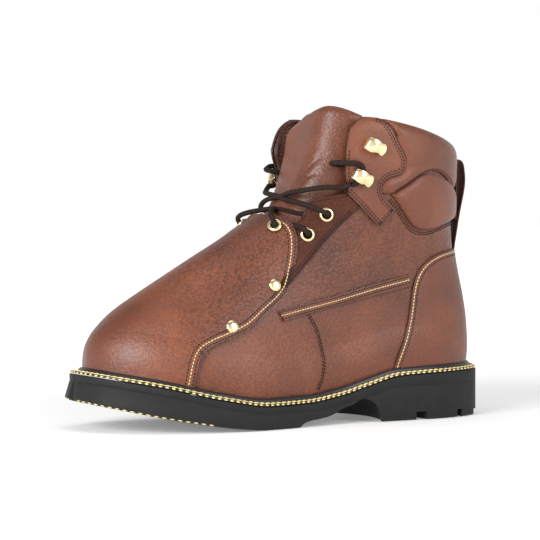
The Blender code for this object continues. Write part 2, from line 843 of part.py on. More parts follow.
def make_collar():
    """The padded cuff above the seam, and the ankle pad below it."""
    back = -0.010
    front = 0.1020
    cuff = [*CUFF_SEAM[::-1], (front, CUFF_SEAM[0][1]), (front, 0.2300), (back, 0.2300), (back, CUFF_SEAM[-1][1])]
    made = [make_overlay("collar_cuff", cuff, GAP, GAP + PAD_THICKNESS)]
    seam = [(station, height - 2 * GAP) for station, height in CUFF_SEAM]
    pad = [(back, PAD_LOWER[0][1]), *PAD_LOWER, *seam, (back, seam[-1][1])]
    made.append(make_overlay("ankle_pad", pad, GAP, GAP + PAD_THICKNESS))
    for piece in made:
        boolean(piece, bpy.data.objects["panel_clearance_lateral"], "DIFFERENCE")


def make_tongue():
    """A padded sheet inside the throat that stands above the collar."""
    grid, normal = body_grid(TONGUE_LEVELS)
    depth = tongue_depth(grid[..., 2])[..., None]
    mesh = wall_mesh("tongue", grid - normal * depth, grid - normal * (depth + TONGUE_THICKNESS))
    tongue = add_object("tongue", mesh, "brown_leather")
    low = [(side * x, height) for side, rows in ((1, TONGUE_SIDE), (-1, TONGUE_SIDE[::-1])) for x, height in rows]
    outline = [*low[: len(TONGUE_SIDE)], *reversed(TONGUE_TOP), *low[len(TONGUE_SIDE) :]]
    boolean(tongue, front_prism("tongue_outline", outline, 0.100, 0.300), "INTERSECT")
    return tongue


def make_pull_loop():
    """A folded strap on the back seam, its closed end up."""
    outer = ((0.0157, 0.1290), (0.0132, 0.1400), (0.0087, 0.1560), (0.0062, 0.1700), (0.0072, 0.1800),
             (0.0107, 0.1860), (0.0137, 0.1865), (0.0149, 0.1830), (0.0152, 0.1700), (0.0152, 0.1500), (0.0157, 0.1420))
    inner = ((0.0139, 0.1450), (0.0105, 0.1570), (0.0081, 0.1700), (0.0089, 0.1790), (0.0113, 0.1838),
             (0.0129, 0.1840), (0.0131, 0.1700), (0.0134, 0.1520))
    curve = bpy.data.curves.new("pull_loop", "CURVE")
    curve.dimensions = "2D"
    curve.fill_mode = "BOTH"
    curve.extrude = 0.009
    for points in (outer, inner):
        spline = curve.splines.new("POLY")
        spline.points.add(len(points) - 1)
        for point, (station, height) in zip(spline.points, points):
            point.co = (HEEL_BACK - station, height, 0, 1)
        spline.use_cyclic_u = True
    holder = bpy.data.objects.new("pull_loop_curve", curve)
    bpy.context.scene.collection.objects.link(holder)
    graph = bpy.context.evaluated_depsgraph_get()
    mesh = bpy.data.meshes.new_from_object(holder.evaluated_get(graph))
    bpy.data.objects.remove(holder)
    shape = bmesh.new()
    shape.from_mesh(mesh)
    bmesh.ops.remove_doubles(shape, verts=shape.verts, dist=1e-6)
    shape.to_mesh(mesh)
    shape.free()
    mesh.transform(Matrix(((0, 0, 1, 0), (1, 0, 0, 0), (0, 1, 0, 0), (0, 0, 0, 1))))
    return add_object("pull_loop", mesh, "brown_leather")


# Metal
def turned_piece(name, profile, place, direction, steps=8, closed=True):
    """A turned shape: a profile of (radius, height) spun round its own axis."""
    rows = []
    for i in range(steps):
        angle = 2 * math.pi * i / steps
        rows.append([(r * math.cos(angle), r * math.sin(angle), h) for r, h in profile])
    if closed:
        mesh = ring_mesh(name, np.array(rows))
    else:
        points = [p for row in rows for p in row]
        count = len(profile)
        faces = [tuple(i * count for i in range(steps)), tuple(i * count + count - 1 for i in range(steps))]
        for i in range(steps):
            for j in range(count - 1):
                k = (i + 1) % steps
                faces.append((i * count + j, k * count + j, k * count + j + 1, i * count + j + 1))
        mesh = mesh_of(name, points, faces)
    turned = direction.to_track_quat("Z", "Y").to_matrix().to_4x4()
    mesh.transform(Matrix.Translation(place) @ turned)
    return add_object(name, mesh, "brass")


def eyelet_profile(seat, depth):
    """Flange on the leather and a barrel down through it, as a closed profile."""
    bore, rim = EYELET_BORE, EYELET_RADIUS
    barrel = bore + 0.0006
    return (
        (bore, -depth),
        (bore, seat + 0.0007),
        (bore + 0.0009, seat + 0.0012),
        (rim - 0.0005, seat + 0.0009),
        (rim, seat),
        (barrel, seat),
        (barrel, -depth),
    )


def make_eyelets():
    seat = OVERLAY_SEAT
    for side, word in ((1, "lateral"), (-1, "medial")):
        for i, (station, height) in enumerate(EYELETS):
            place, direction = skin(side, station, height)
            turned_piece(f"eyelet_{word}_{i + 1}", eyelet_profile(seat, WALL), place, direction)
        place, direction = skin(side, *GUARD_EYELET)
        turned_piece(f"guard_eyelet_{word}", eyelet_profile(GUARD_EYELET_SEAT, 0.0), place, direction)


def make_rivets():
    profile = (
        (RIVET_RADIUS, 0.0),
        (RIVET_RADIUS * 0.97, 0.0008),
        (RIVET_RADIUS * 0.75, 0.0017),
        (RIVET_RADIUS * 0.35, 0.0022),
    )
    for side, word in ((1, "lateral"), (-1, "medial")):
        for i, (station, height, seat) in enumerate(RIVETS):
            place, direction = skin(side, station, height)
            place += direction * seat
            turned_piece(f"rivet_{word}_{i + 1}", profile, place, direction, closed=False)


def hook_frame(side, station, height):
    """Seat of a hook, with the directions out from the leather, back from the throat and up across."""
    place, out = skin(side, station, height)
    across = out.cross(Vector((0, -0.90, 0.42))).normalized()
    if across.z < 0:
        across = -across
    back = across.cross(out).normalized()
    if back.y < 0:
        back = -back
    return place + out * OVERLAY_SEAT, out, back, across


def make_hooks():
    """A plate riveted to the panel, with a blade bent up and back over the lace."""
    side_view = (
        (-0.0046, 0.0),
        (0.0050, 0.0),
        (0.0050, 0.0011),
        (-0.0024, 0.0011),
        (-0.0024, 0.0058),
        (0.0066, 0.0068),
        (0.0098, 0.0046),
        (0.0106, 0.0056),
        (0.0074, 0.0082),
        (-0.0030, 0.0074),
        (-0.0044, 0.0058),
        (-0.0046, 0.0011),
    )
    for side, word in ((1, "lateral"), (-1, "medial")):
        for i, (station, height) in enumerate(HOOKS[side]):
            seat, out, back, across = hook_frame(side, station, height)
            rows = []
            for width in (-HOOK_RADIUS, HOOK_RADIUS):
                rows.append([tuple(seat + across * width + back * a + out * b) for a, b in side_view])
            name = f"hook_{word}_{i + 1}"
            add_object(name, row_mesh(name, np.array(rows)), "brass")


# Lace
STEP_SHARE = 1.3


def tube(name, route, diameter, material):
    """A cord along hand-chosen points, read off a smooth curve."""
    points = np.array([tuple(p) for p in route])
    spacing = np.linalg.norm(np.diff(points, axis=0), axis=1)
    along = np.concatenate([[0], np.cumsum(spacing)])
    steps = max(4, int(along[-1] / (STEP_SHARE * diameter)))
    at = np.linspace(0, along[-1], steps + 1)
    smooth_points = np.stack([spline_through(along, points[:, axis])(at) for axis in range(3)], -1)
    curve = bpy.data.curves.new(name, "CURVE")
    curve.dimensions = "3D"
    curve.bevel_depth = diameter / 2
    curve.bevel_resolution = 1
    curve.use_fill_caps = True
    spline = curve.splines.new("POLY")
    spline.points.add(len(smooth_points) - 1)
    for point, place in zip(spline.points, smooth_points):
        point.co = (*place, 1)
    holder = bpy.data.objects.new(name + "_curve", curve)
    bpy.context.scene.collection.objects.link(holder)
    graph = bpy.context.evaluated_depsgraph_get()
    mesh = bpy.data.meshes.new_from_object(holder.evaluated_get(graph))
    bpy.data.objects.remove(holder)
    shape = bmesh.new()
    shape.from_mesh(mesh)
    bmesh.ops.remove_doubles(shape, verts=shape.verts, dist=1e-6)
    shape.to_mesh(mesh)
    shape.free()
    return add_object(name, mesh, material)


# station, height, lift off the upper's outer face
LOW_ROUTE = ((0.1555, 0.1352, 0.0072), (0.1570, 0.1385, 0.0062))
MIDDLE_START = ((0.1718, 0.1370, 0.0094),)
MIDDLE_END = ((0.1600, 0.1495, -0.0054), (0.1550, 0.1480, -0.0053), (0.1505, 0.1475, -0.0053))
UPPER_START = {
    1: ((0.1445, 0.1490, 0.0078), (0.1515, 0.1525, 0.0070)),
    -1: ((0.1440, 0.1478, 0.0072), (0.1520, 0.1500, 0.0050)),
}
UPPER_END = {
    1: ((0.1480, 0.1635, 0.0070), (0.1360, 0.1655, 0.0054), (0.1260, 0.1668, 0.0054)),
    -1: ((0.1490, 0.1625, 0.0030), (0.1440, 0.1645, 0.0060)),
}
END_ROUTES = {
    1: (
        (0.1240, 0.1822, 0.0052),
        (0.1295, 0.1822, 0.0046),
        (0.1352, 0.1819, 0.0002),
        (0.1305, 0.1815, -0.0058),
        (0.1230, 0.1810, -0.0060),
    ),
    -1: (
        (0.1430, 0.1790, 0.0056),
        (0.1485, 0.1775, 0.0012),
        (0.1450, 0.1765, -0.0052),
        (0.1400, 0.1760, -0.0062),
    ),
}

# x on the eyelet's own side, station, height
MIDDLE_CROSSING = ((0.0195, 0.1744, 0.1468), (0.0112, 0.1686, 0.1488), (0.0, 0.1624, 0.1502))
UPPER_CROSSING = ((0.0150, 0.1590, 0.1565), (0.0, 0.1570, 0.1587), (-0.0150, 0.1585, 0.1610))

# distance up across a hook, back from the throat and out from the panel
HOOK_TURN = (
    (-0.0074, -0.0034, 0.0036),
    (-0.0074, -0.0022, 0.0036),
    (-0.0056, 0.0006, 0.0036),
    (0.0, 0.0012, 0.0036),
    (0.0056, 0.0006, 0.0036),
    (0.0074, -0.0030, 0.0036),
)


def over(side, station, height, lift):
    """A point held off the upper's outer face."""
    place, out = skin(side, station, height)
    return place + out * lift


def at(x, station, height):
    return Vector((x, HEEL_BACK - station, height))


def by_hook(side, up, behind, away):
    seat, out, back, across = hook_frame(side, *HOOKS[side][0])
    return seat + across * up + back * behind + out * away


def joined(name, first, second):
    """Two cords of one crossing made one solid."""
    modifier = first.modifiers.new(name, "BOOLEAN")
    modifier.operation = "UNION"
    modifier.solver = "EXACT"
    modifier.object = second
    boot_collection.objects.unlink(second)
    cutter_collection.objects.link(second)
    second.hide_render = True
    second.display_type = "WIRE"
    first.name = name


def make_lace():
    """A round lace: laced ends of the guard, crossing to the upper eyelets, then to the lower hooks."""
    middle, upper = [], []
    for side, word in ((1, "lateral"), (-1, "medial")):
        low_eyelet, high_eyelet = EYELETS
        route = [over(side, *low_eyelet, EYELET_TOP), over(side, *low_eyelet, EYELET_TOP + 0.0022)]
        route += [over(side, *row) for row in LOW_ROUTE]
        tube(f"lace_low_{word}", route, LACE_DIAMETER, "brown_lace")

        route = [over(side, *GUARD_EYELET, GUARD_EYELET_SEAT + 0.0026)]
        route += [over(side, *row) for row in MIDDLE_START]
        route += [at(side * x, station, height) for x, station, height in MIDDLE_CROSSING]
        route += [over(-side, *row) for row in MIDDLE_END]
        middle.append(tube(f"lace_middle_{word}", route, LACE_DIAMETER, "brown_lace"))

        route = [over(side, *high_eyelet, EYELET_TOP), over(side, *high_eyelet, EYELET_TOP + 0.0034)]
        route += [over(side, *row) for row in UPPER_START[side]]
        route += [at(side * x, station, height) for x, station, height in UPPER_CROSSING]
        route += [over(-side, *row) for row in UPPER_END[-side]]
        route.append(by_hook(-side, *HOOK_TURN[0]))
        upper.append(tube(f"lace_upper_{word}", route, LACE_DIAMETER, "brown_lace"))

        route = [by_hook(side, *row) for row in HOOK_TURN[1:]]
        route += [over(side, *row) for row in END_ROUTES[side]]
        tube(f"lace_end_{word}", route, LACE_DIAMETER, "brown_lace")
    joined("lace_middle", *middle)
    joined("lace_upper", *upper)


def make_all():
    make_midsole()
    make_outsole()
    make_welt()
    make_insole()
    make_upper()
    make_guard()
    make_counter()
    make_side_pieces(1, "lateral")
    make_side_pieces(-1, "medial")
    make_collar()
    make_tongue()
    make_pull_loop()
    make_eyelets()
    make_rivets()
    make_hooks()
    make_lace()


make_all()
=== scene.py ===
import math

import bmesh
import bpy
import numpy as np
from mathutils import Matrix, Vector
from mathutils.kdtree import KDTree


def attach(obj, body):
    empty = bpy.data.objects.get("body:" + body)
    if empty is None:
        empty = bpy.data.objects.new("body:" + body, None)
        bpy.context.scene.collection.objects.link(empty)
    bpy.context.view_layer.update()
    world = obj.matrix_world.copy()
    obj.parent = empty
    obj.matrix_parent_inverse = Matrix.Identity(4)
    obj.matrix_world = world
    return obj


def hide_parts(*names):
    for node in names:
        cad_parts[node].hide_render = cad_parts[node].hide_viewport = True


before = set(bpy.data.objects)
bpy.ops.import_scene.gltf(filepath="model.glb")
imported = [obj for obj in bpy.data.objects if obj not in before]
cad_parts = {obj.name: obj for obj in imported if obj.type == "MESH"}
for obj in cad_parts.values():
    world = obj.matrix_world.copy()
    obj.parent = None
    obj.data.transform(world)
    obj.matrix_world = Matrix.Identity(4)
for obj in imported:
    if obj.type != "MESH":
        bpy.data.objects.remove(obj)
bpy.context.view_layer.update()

# %% [markdown]
# The camera stands where the photographer's did: 62 degrees round from the toe, just above the floor,
# with a long lens. The floor is a white sheet that the boot throws a soft shadow on. It glows more far
# off, so that it stays white to the horizon, and less light comes from above than from the sides.
# %% Camera, floor and light
CAMERA_TURN = math.radians(62)
CAMERA_LIFT = math.radians(1.8)
CAMERA_DISTANCE = 1.6
CAMERA_TARGET = Vector((0, -0.1244, 0.107))
LENS_PIXELS = 2266
FRAME_PIXELS = 540
# near and far distance, glow at each
SHEET_GLOW = (0.25, 0.90, 0.20, 0.80)
# low and high direction, light from each
SKY_FALL = (0.15, 0.75, 1.0, 0.30)

back = Vector((
    math.sin(CAMERA_TURN) * math.cos(CAMERA_LIFT),
    -math.cos(CAMERA_TURN) * math.cos(CAMERA_LIFT),
    math.sin(CAMERA_LIFT),
))
camera_data = bpy.data.cameras.new("camera")
camera_data.sensor_width = 36
camera_data.lens = 36 * LENS_PIXELS / FRAME_PIXELS
camera_data.clip_start = 0.05
camera = bpy.data.objects.new("camera", camera_data)
camera.location = CAMERA_TARGET + back * CAMERA_DISTANCE
camera.rotation_euler = back.to_track_quat("Z", "Y").to_euler()
bpy.context.scene.collection.objects.link(camera)
bpy.context.scene.camera = camera


def node_at(tree, kind, **values):
    """A shader node whose inputs and settings are given by name."""
    made = tree.nodes.new(kind)
    for name, value in values.items():
        if name in made.inputs:
            made.inputs[name].default_value = value
        else:
            setattr(made, name, value)
    return made


def mapped(tree, value, limits, **settings):
    """A value carried from one range to another; limits are the ends of both."""
    names = ("From Min", "From Max", "To Min", "To Max")
    made = node_at(tree, "ShaderNodeMapRange", **dict(zip(names, limits)), **settings)
    tree.links.new(value, made.inputs["Value"])
    return made.outputs["Result"]


def simple_material(name, colour, roughness):
    material = bpy.data.materials.new(name)
    material.use_nodes = True
    shader = material.node_tree.nodes["Principled BSDF"]
    shader.inputs["Base Color"].default_value = (*colour, 1)
    shader.inputs["Roughness"].default_value = roughness
    return material


bpy.ops.mesh.primitive_plane_add(size=16, location=(0, 0, -0.0004))
floor = bpy.context.object
floor.name = "floor"
white_sheet = simple_material("white_sheet", (0.80, 0.80, 0.80), 0.9)
sheet_tree = white_sheet.node_tree
sheet_shader = sheet_tree.nodes["Principled BSDF"]
sheet_shader.inputs["Emission Color"].default_value = (1, 1, 1, 1)
sheet_distance = node_at(sheet_tree, "ShaderNodeVectorMath", operation="LENGTH")
sheet_place = node_at(sheet_tree, "ShaderNodeTexCoord")
sheet_tree.links.new(sheet_place.outputs["Object"], sheet_distance.inputs[0])
sheet_glow = mapped(sheet_tree, sheet_distance.outputs["Value"], SHEET_GLOW)
sheet_tree.links.new(sheet_glow, sheet_shader.inputs["Emission Strength"])
floor.data.materials.append(white_sheet)


def add_light(name, place, target, size, power):
    data = bpy.data.lights.new(name, "AREA")
    data.shape = "RECTANGLE"
    data.size, data.size_y = size
    data.energy = power
    light = bpy.data.objects.new(name, data)
    light.location = place
    light.rotation_euler = (Vector(place) - Vector(target)).to_track_quat("Z", "Y").to_euler()
    bpy.context.scene.collection.objects.link(light)


boot_middle = (0, -0.11, 0.10)
add_light("overhead", (0.1, -0.1, 1.5), boot_middle, (1.2, 1.2), 5)
add_light("front_left", (0.6, -1.3, 0.55), boot_middle, (0.7, 0.7), 20)
add_light("right", (1.3, 0.5, 0.7), boot_middle, (0.6, 0.8), 9)

world = bpy.data.worlds.new("studio")
bpy.context.scene.world = world
world.use_nodes = True
background = world.node_tree.nodes["Background"]
background.inputs["Color"].default_value = (1, 1, 1, 1)
directions = node_at(world.node_tree, "ShaderNodeTexCoord")
parts = node_at(world.node_tree, "ShaderNodeSeparateXYZ")
world.node_tree.links.new(directions.outputs["Generated"], parts.inputs["Vector"])
sky = mapped(world.node_tree, parts.outputs["Z"], SKY_FALL, interpolation_type="SMOOTHSTEP")
world.node_tree.links.new(sky, background.inputs["Strength"])
bpy.context.scene.view_settings.view_transform = "Standard"
print("camera at", [round(v, 3) for v in camera.location])

# %% [markdown]
# A shoe's leather takes its shape from the last, so every leather piece here asks one function where
# the last's surface is. The tables are the ones of the construction: stations run forward from the
# rear of the sole, heights run up from the floor.
# %% The last's sizes
SOLE_LENGTH = 0.313
SOLE_BACK = -0.002
HEEL_BACK = 0.040
SEAT = 0.0006
GAP = 0.0003
LAST_BACK = 0.0065
LAST_FRONT = 0.2992
LAST_SHARE = 0.82
TIP_OFFSET = -0.0065
FOOT_BULGE = 0.0016
BULGE_HEIGHT = 0.030
DOME_POWER = 2.3
ROUND_BACK = 0.88
SQUARE_FRONT = {1: 0.55, -1: 0.45}
MEDIAL_LEAN = 0.0030
COLLAR_ROLL = 0.0040
ROLL_HEIGHT = 0.0100
WELT_TOP = 0.0050

# station, lateral half width, medial half width of the midsole's upper edge
SOLE_OUTLINE = (
    (-0.002, 0.0000, 0.0000),
    (0.004, 0.0190, 0.0185),
    (0.017, 0.0290, 0.0290),
    (0.040, 0.0372, 0.0370),
    (0.069, 0.0392, 0.0382),
    (0.101, 0.0400, 0.0345),
    (0.132, 0.0425, 0.0325),
    (0.164, 0.0490, 0.0380),
    (0.195, 0.0550, 0.0480),
    (0.227, 0.0560, 0.0560),
    (0.250, 0.0520, 0.0570),
    (0.274, 0.0420, 0.0520),
    (0.292, 0.0290, 0.0425),
    (0.305, 0.0130, 0.0290),
    (0.311, -0.0080, 0.0080),
)

# station, midsole's upper edge, midsole's lower edge
SOLE_HEIGHTS = (
    (0.000, 0.0335, 0.0250),
    (0.080, 0.0313, 0.0240),
    (0.105, 0.0255, 0.0190),
    (0.130, 0.0193, 0.0135),
    (0.160, 0.0158, 0.0108),
    (0.190, 0.0155, 0.0108),
    (0.230, 0.0212, 0.0165),
    (0.265, 0.0295, 0.0248),
    (0.300, 0.0362, 0.0315),
    (0.315, 0.0390, 0.0343),
)

# height, station of the toe and instep line
RIDGE = (
    (0.050, 0.2992),
    (0.0575, 0.2975),
    (0.0643, 0.2932),
    (0.0708, 0.2872),
    (0.0765, 0.2810),
    (0.0823, 0.2733),
    (0.0891, 0.2628),
    (0.0971, 0.2502),
    (0.1131, 0.2238),
    (0.1301, 0.1943),
    (0.1470, 0.1700),
    (0.1620, 0.1600),
    (0.1800, 0.1530),
    (0.2000, 0.1480),
    (0.2350, 0.1410),
)

# height, station of the back seam
BACK_SEAM = (
    (0.030, 0.0080),
    (0.050, 0.0060),
    (0.066, 0.0065),
    (0.084, 0.0090),
    (0.100, 0.0125),
    (0.120, 0.0165),
    (0.150, 0.0195),
    (0.205, 0.0205),
)

# station, height of the collar's edge
COLLAR_EDGE = (
    (0.010, 0.1930),
    (0.030, 0.1975),
    (0.050, 0.2030),
    (0.080, 0.2100),
    (0.110, 0.2145),
    (0.130, 0.2150),
    (0.315, 0.2150),
)

# height, lateral and medial half width of the shaft
SHAFT_WIDTHS = (
    (0.060, 0.0390, 0.0380),
    (0.100, 0.0385, 0.0370),
    (0.130, 0.0400, 0.0385),
    (0.160, 0.0430, 0.0420),
    (0.190, 0.0460, 0.0455),
    (0.215, 0.0470, 0.0465),
)

# height, lateral and medial reach of the throat's opening
THROAT = (
    (0.104, 0.0040, 0.0040),
    (0.110, 0.0140, 0.0140),
    (0.122, 0.0220, 0.0220),
    (0.140, 0.0280, 0.0295),
    (0.155, 0.0290, 0.0350),
    (0.162, 0.0395, 0.0365),
    (0.175, 0.0398, 0.0365),
    (0.195, 0.0402, 0.0320),
    (0.240, 0.0420, 0.0260),
)


# %% Curves through the tables
def curve_through(rows, column=1):
    """A smooth curve through a table's rows that never overshoots them."""
    x = np.array([row[0] for row in rows], float)
    y = np.array([row[column] for row in rows], float)
    step = np.diff(x)
    slope = np.diff(y) / step
    tangent = np.zeros(len(x))
    for i in range(1, len(x) - 1):
        if slope[i - 1] * slope[i] > 0:
            before = 2 * step[i] + step[i - 1]
            after = step[i] + 2 * step[i - 1]
            tangent[i] = (before + after) / (before / slope[i - 1] + after / slope[i])
    tangent[0], tangent[-1] = slope[0], slope[-1]

    def value(at):
        at = np.clip(np.asarray(at, float), x[0], x[-1])
        i = np.clip(np.searchsorted(x, at, side="right") - 1, 0, len(x) - 2)
        t = (at - x[i]) / step[i]
        start = (1 + 2 * t) * (1 - t) ** 2 * y[i] + t * (1 - t) ** 2 * step[i] * tangent[i]
        end = t * t * (3 - 2 * t) * y[i + 1] + t * t * (t - 1) * step[i] * tangent[i + 1]
        return start + end

    return value


def spline_through(x, y):
    """A natural cubic spline, for an outline that has to swing freely."""
    count = len(x)
    step = np.diff(x)
    system = np.eye(count)
    right = np.zeros(count)
    for i in range(1, count - 1):
        system[i, i - 1 : i + 2] = step[i - 1], 2 * (step[i - 1] + step[i]), step[i]
        right[i] = 6 * ((y[i + 1] - y[i]) / step[i] - (y[i] - y[i - 1]) / step[i - 1])
    bend = np.linalg.solve(system, right)

    def value(at):
        at = np.clip(np.asarray(at, float), x[0], x[-1])
        i = np.clip(np.searchsorted(x, at, side="right") - 1, 0, count - 2)
        to_end, from_start = x[i + 1] - at, at - x[i]
        curved = (bend[i] * to_end**3 + bend[i + 1] * from_start**3) / (6 * step[i])
        first = (y[i] / step[i] - bend[i] * step[i] / 6) * to_end
        second = (y[i + 1] / step[i] - bend[i + 1] * step[i] / 6) * from_start
        return curved + first + second

    return value


def smooth(value, low, high):
    share = np.clip((np.asarray(value, float) - low) / (high - low), 0, 1)
    return share * share * (3 - 2 * share)


def turn_of(share):
    """The angle round an oval at a share of its length."""
    return np.arccos(np.clip(1 - 2 * np.asarray(share, float), -1, 1))


outline_turns = turn_of((np.array([row[0] for row in SOLE_OUTLINE]) - SOLE_BACK) / SOLE_LENGTH)
sole_half = {
    1: spline_through(outline_turns, np.array([row[1] for row in SOLE_OUTLINE])),
    -1: spline_through(outline_turns, np.array([row[2] for row in SOLE_OUTLINE])),
}
midsole_top = curve_through(SOLE_HEIGHTS, 1)
ridge_station = curve_through(RIDGE)
back_station = curve_through(BACK_SEAM)
collar_height = curve_through(COLLAR_EDGE)
shaft_half = {1: curve_through(SHAFT_WIDTHS, 1), -1: curve_through(SHAFT_WIDTHS, 2)}
throat_reach = {1: curve_through(THROAT, 1), -1: curve_through(THROAT, 2)}
ridge_samples = np.linspace(RIDGE[-1][0], RIDGE[0][0], 2000)
ridge_stations = ridge_station(ridge_samples)


def ridge_height(station):
    """Height of the toe and instep line over a station."""
    return np.interp(station, ridge_stations, ridge_samples)


def feather_height(station):
    """Where the leather leaves the welt."""
    return midsole_top(station) + WELT_TOP


# %% [markdown]
# A place on the last is given by a turn and a level. The turn runs from 0 at the back seam to pi at the
# toe on the outer side, and on to two pi down the inner side. The level runs from 0 on the sole to 1 at
# the collar. `last_points` takes whole arrays of both, so that a panel of thousands of points is quick.
# %% The last's surface
LEVEL_STEPS = np.linspace(0, 1.08, 433)
STATION_STEPS = np.linspace(0.12, LAST_FRONT, 3000)


def level_height(station, level):
    floor_height = midsole_top(station) + SEAT
    return floor_height + (collar_height(station) - floor_height) * level


def level_of(station, height):
    floor_height = midsole_top(station) + SEAT
    return (height - floor_height) / (collar_height(station) - floor_height)


def ends_of_levels():
    """Stations of the back seam and of the toe or instep line, for each of the level steps."""
    backs, fronts = [], []
    for level in LEVEL_STEPS:
        room = ridge_height(STATION_STEPS) - level_height(STATION_STEPS, level)
        last = np.where(room >= 0)[0][-1]
        front = STATION_STEPS[last]
        if last < len(STATION_STEPS) - 1:
            share = room[last] / (room[last] - room[last + 1])
            front += (STATION_STEPS[last + 1] - STATION_STEPS[last]) * share
        at_back = 0.012
        for _ in range(6):
            at_back = float(back_station(level_height(at_back, level)))
        backs.append(at_back)
        fronts.append(front)
    return np.array(backs), np.array(fronts)


back_of_level, front_of_level = ends_of_levels()


def lean_at(side, turn, height):
    """How far the inner side's front corner leans forward."""
    corner = smooth(turn, 1.8, 2.6) * (1 - smooth(turn, 2.75, math.pi)) * smooth(height, 0.165, 0.215)
    return corner * (MEDIAL_LEAN if side < 0 else 0)


def side_points(side, turn, level):
    """Points of one side, whose turn runs from 0 at the back seam to pi at the toe or instep line."""
    at_back = np.interp(level, LEVEL_STEPS, back_of_level)
    at_front = np.interp(level, LEVEL_STEPS, front_of_level)
    station = at_back + (at_front - at_back) * (1 - np.cos(turn)) / 2
    height = level_height(station, level)
    feather = feather_height(station)
    rise = np.clip((height - feather) / np.maximum(ridge_height(station) - feather, 1e-6), 0, 1)
    shift = (at_back - LAST_BACK) * (1 - smooth(station - at_back, 0, 0.10))
    share = np.clip((station - shift - LAST_BACK) / (LAST_FRONT - LAST_BACK), 0, 1)
    half = sole_half[side](turn_of(share)) * (LAST_SHARE + 0.04 * share)
    tip = TIP_OFFSET * smooth(station, 0.22, LAST_FRONT)
    over_welt = np.clip((height - feather) / BULGE_HEIGHT, 0, 1)
    bulge = 1 + FOOT_BULGE * np.sin(np.pi * over_welt) / 0.045
    foot = side * tip + (half - side * tip) * np.sqrt(np.maximum(1 - rise**DOME_POWER, 0)) * bulge
    front_share = smooth(turn, math.pi / 2 - 0.2, math.pi / 2 + 0.7) * smooth(height, 0.135, 0.175)
    power = ROUND_BACK + (SQUARE_FRONT[side] - ROUND_BACK) * front_share
    shaft = shaft_half[side](height) * np.maximum(np.sin(turn), 0) ** power
    shaft_share = smooth(height, 0.065, 0.165)
    x = side * (foot * (1 - shaft_share) + shaft * shaft_share)
    return np.stack([x, HEEL_BACK - station - lean_at(side, turn, height), height], -1)


def last_points(turn, level):
    """Points of the whole last, whose turn runs on to two pi down the inner side."""
    turn = np.asarray(turn, float) % (2 * math.pi)
    turn, level = np.broadcast_arrays(turn, np.asarray(level, float))
    outer = turn <= math.pi
    lateral = side_points(1, np.where(outer, turn, math.pi), level)
    medial = side_points(-1, np.where(outer, math.pi, 2 * math.pi - turn), level)
    return np.where(outer[..., None], lateral, medial)


def last_normals(turn, level):
    """Directions out from the leather."""
    step = 0.012
    along = last_points(turn + step, level) - last_points(turn - step, level)
    up = last_points(turn, level + step) - last_points(turn, np.asarray(level) - step)
    normal = np.cross(up, along)
    return normal / np.maximum(np.linalg.norm(normal, axis=-1, keepdims=True), 1e-9)


def place_of(side, station, height):
    """Turn and level of a place given by side, station and height."""
    level = level_of(station, height)
    at_back = np.interp(level, LEVEL_STEPS, back_of_level)
    at_front = np.interp(level, LEVEL_STEPS, front_of_level)
    turn = turn_of((station - at_back) / (at_front - at_back))
    return np.where(np.asarray(side) > 0, turn, 2 * math.pi - turn), level


def skin(side, station, height):
    """A point of the leather's outer face and the direction out of it."""
    turn, level = place_of(side, station, height)
    point = last_points(turn, level)
    normal = last_normals(turn, level)
    return Vector(point), Vector(normal)


print("a point of the instep", [round(v, 4) for v in skin(1, 0.16, 0.12)[0]])

# %% [markdown]
# The finishes come next, because each piece gets its own as soon as it is made. Pull-up leather is one
# brown that wanders: broad soft clouds, a fine grain that is stronger on the soft skins than on the
# stretched toe, with painted shade in the grain's creases, and a band of painted shade along each cut
# line. Two attributes that the pieces carry steer it.
# %% Helpers for shader nodes
def noise_at(tree, scale, detail=2.0, stretch=None):
    noise = node_at(tree, "ShaderNodeTexNoise", Scale=scale, Detail=detail)
    place = node_at(tree, "ShaderNodeTexCoord").outputs["Object"]
    if stretch:
        mapping = node_at(tree, "ShaderNodeMapping", Scale=stretch)
        tree.links.new(place, mapping.inputs["Vector"])
        place = mapping.outputs["Vector"]
    tree.links.new(place, noise.inputs["Vector"])
    return noise.outputs["Fac"]


def sum_of(tree, kind, first, second):
    """A math node over two values, each a socket or a number."""
    made = node_at(tree, "ShaderNodeMath", operation=kind)
    for socket, value in zip(made.inputs, (first, second)):
        if isinstance(value, (int, float)):
            socket.default_value = value
        else:
            tree.links.new(value, socket)
    return made.outputs[0]


def mixed(tree, share, first, second):
    """A mix of two colours, each a socket or three numbers."""
    made = node_at(tree, "ShaderNodeMix", data_type="RGBA")
    tree.links.new(share, made.inputs["Factor"])
    for socket, value in zip((made.inputs[6], made.inputs[7]), (first, second)):
        if isinstance(value, tuple):
            socket.default_value = (*value, 1)
        else:
            tree.links.new(value, socket)
    return made.outputs[2]


def ramp(tree, value, low, high):
    """A value stretched so that low becomes 0 and high becomes 1."""
    return mapped(tree, value, (low, high, 0.0, 1.0), clamp=True)


def attribute_of(tree, name):
    return node_at(tree, "ShaderNodeAttribute", attribute_name=name).outputs["Fac"]


def bumped(material, height, depth):
    tree = material.node_tree
    bump = node_at(tree, "ShaderNodeBump", Strength=1.0, Distance=depth)
    tree.links.new(height, bump.inputs["Height"])
    tree.links.new(bump.outputs["Normal"], tree.nodes["Principled BSDF"].inputs["Normal"])


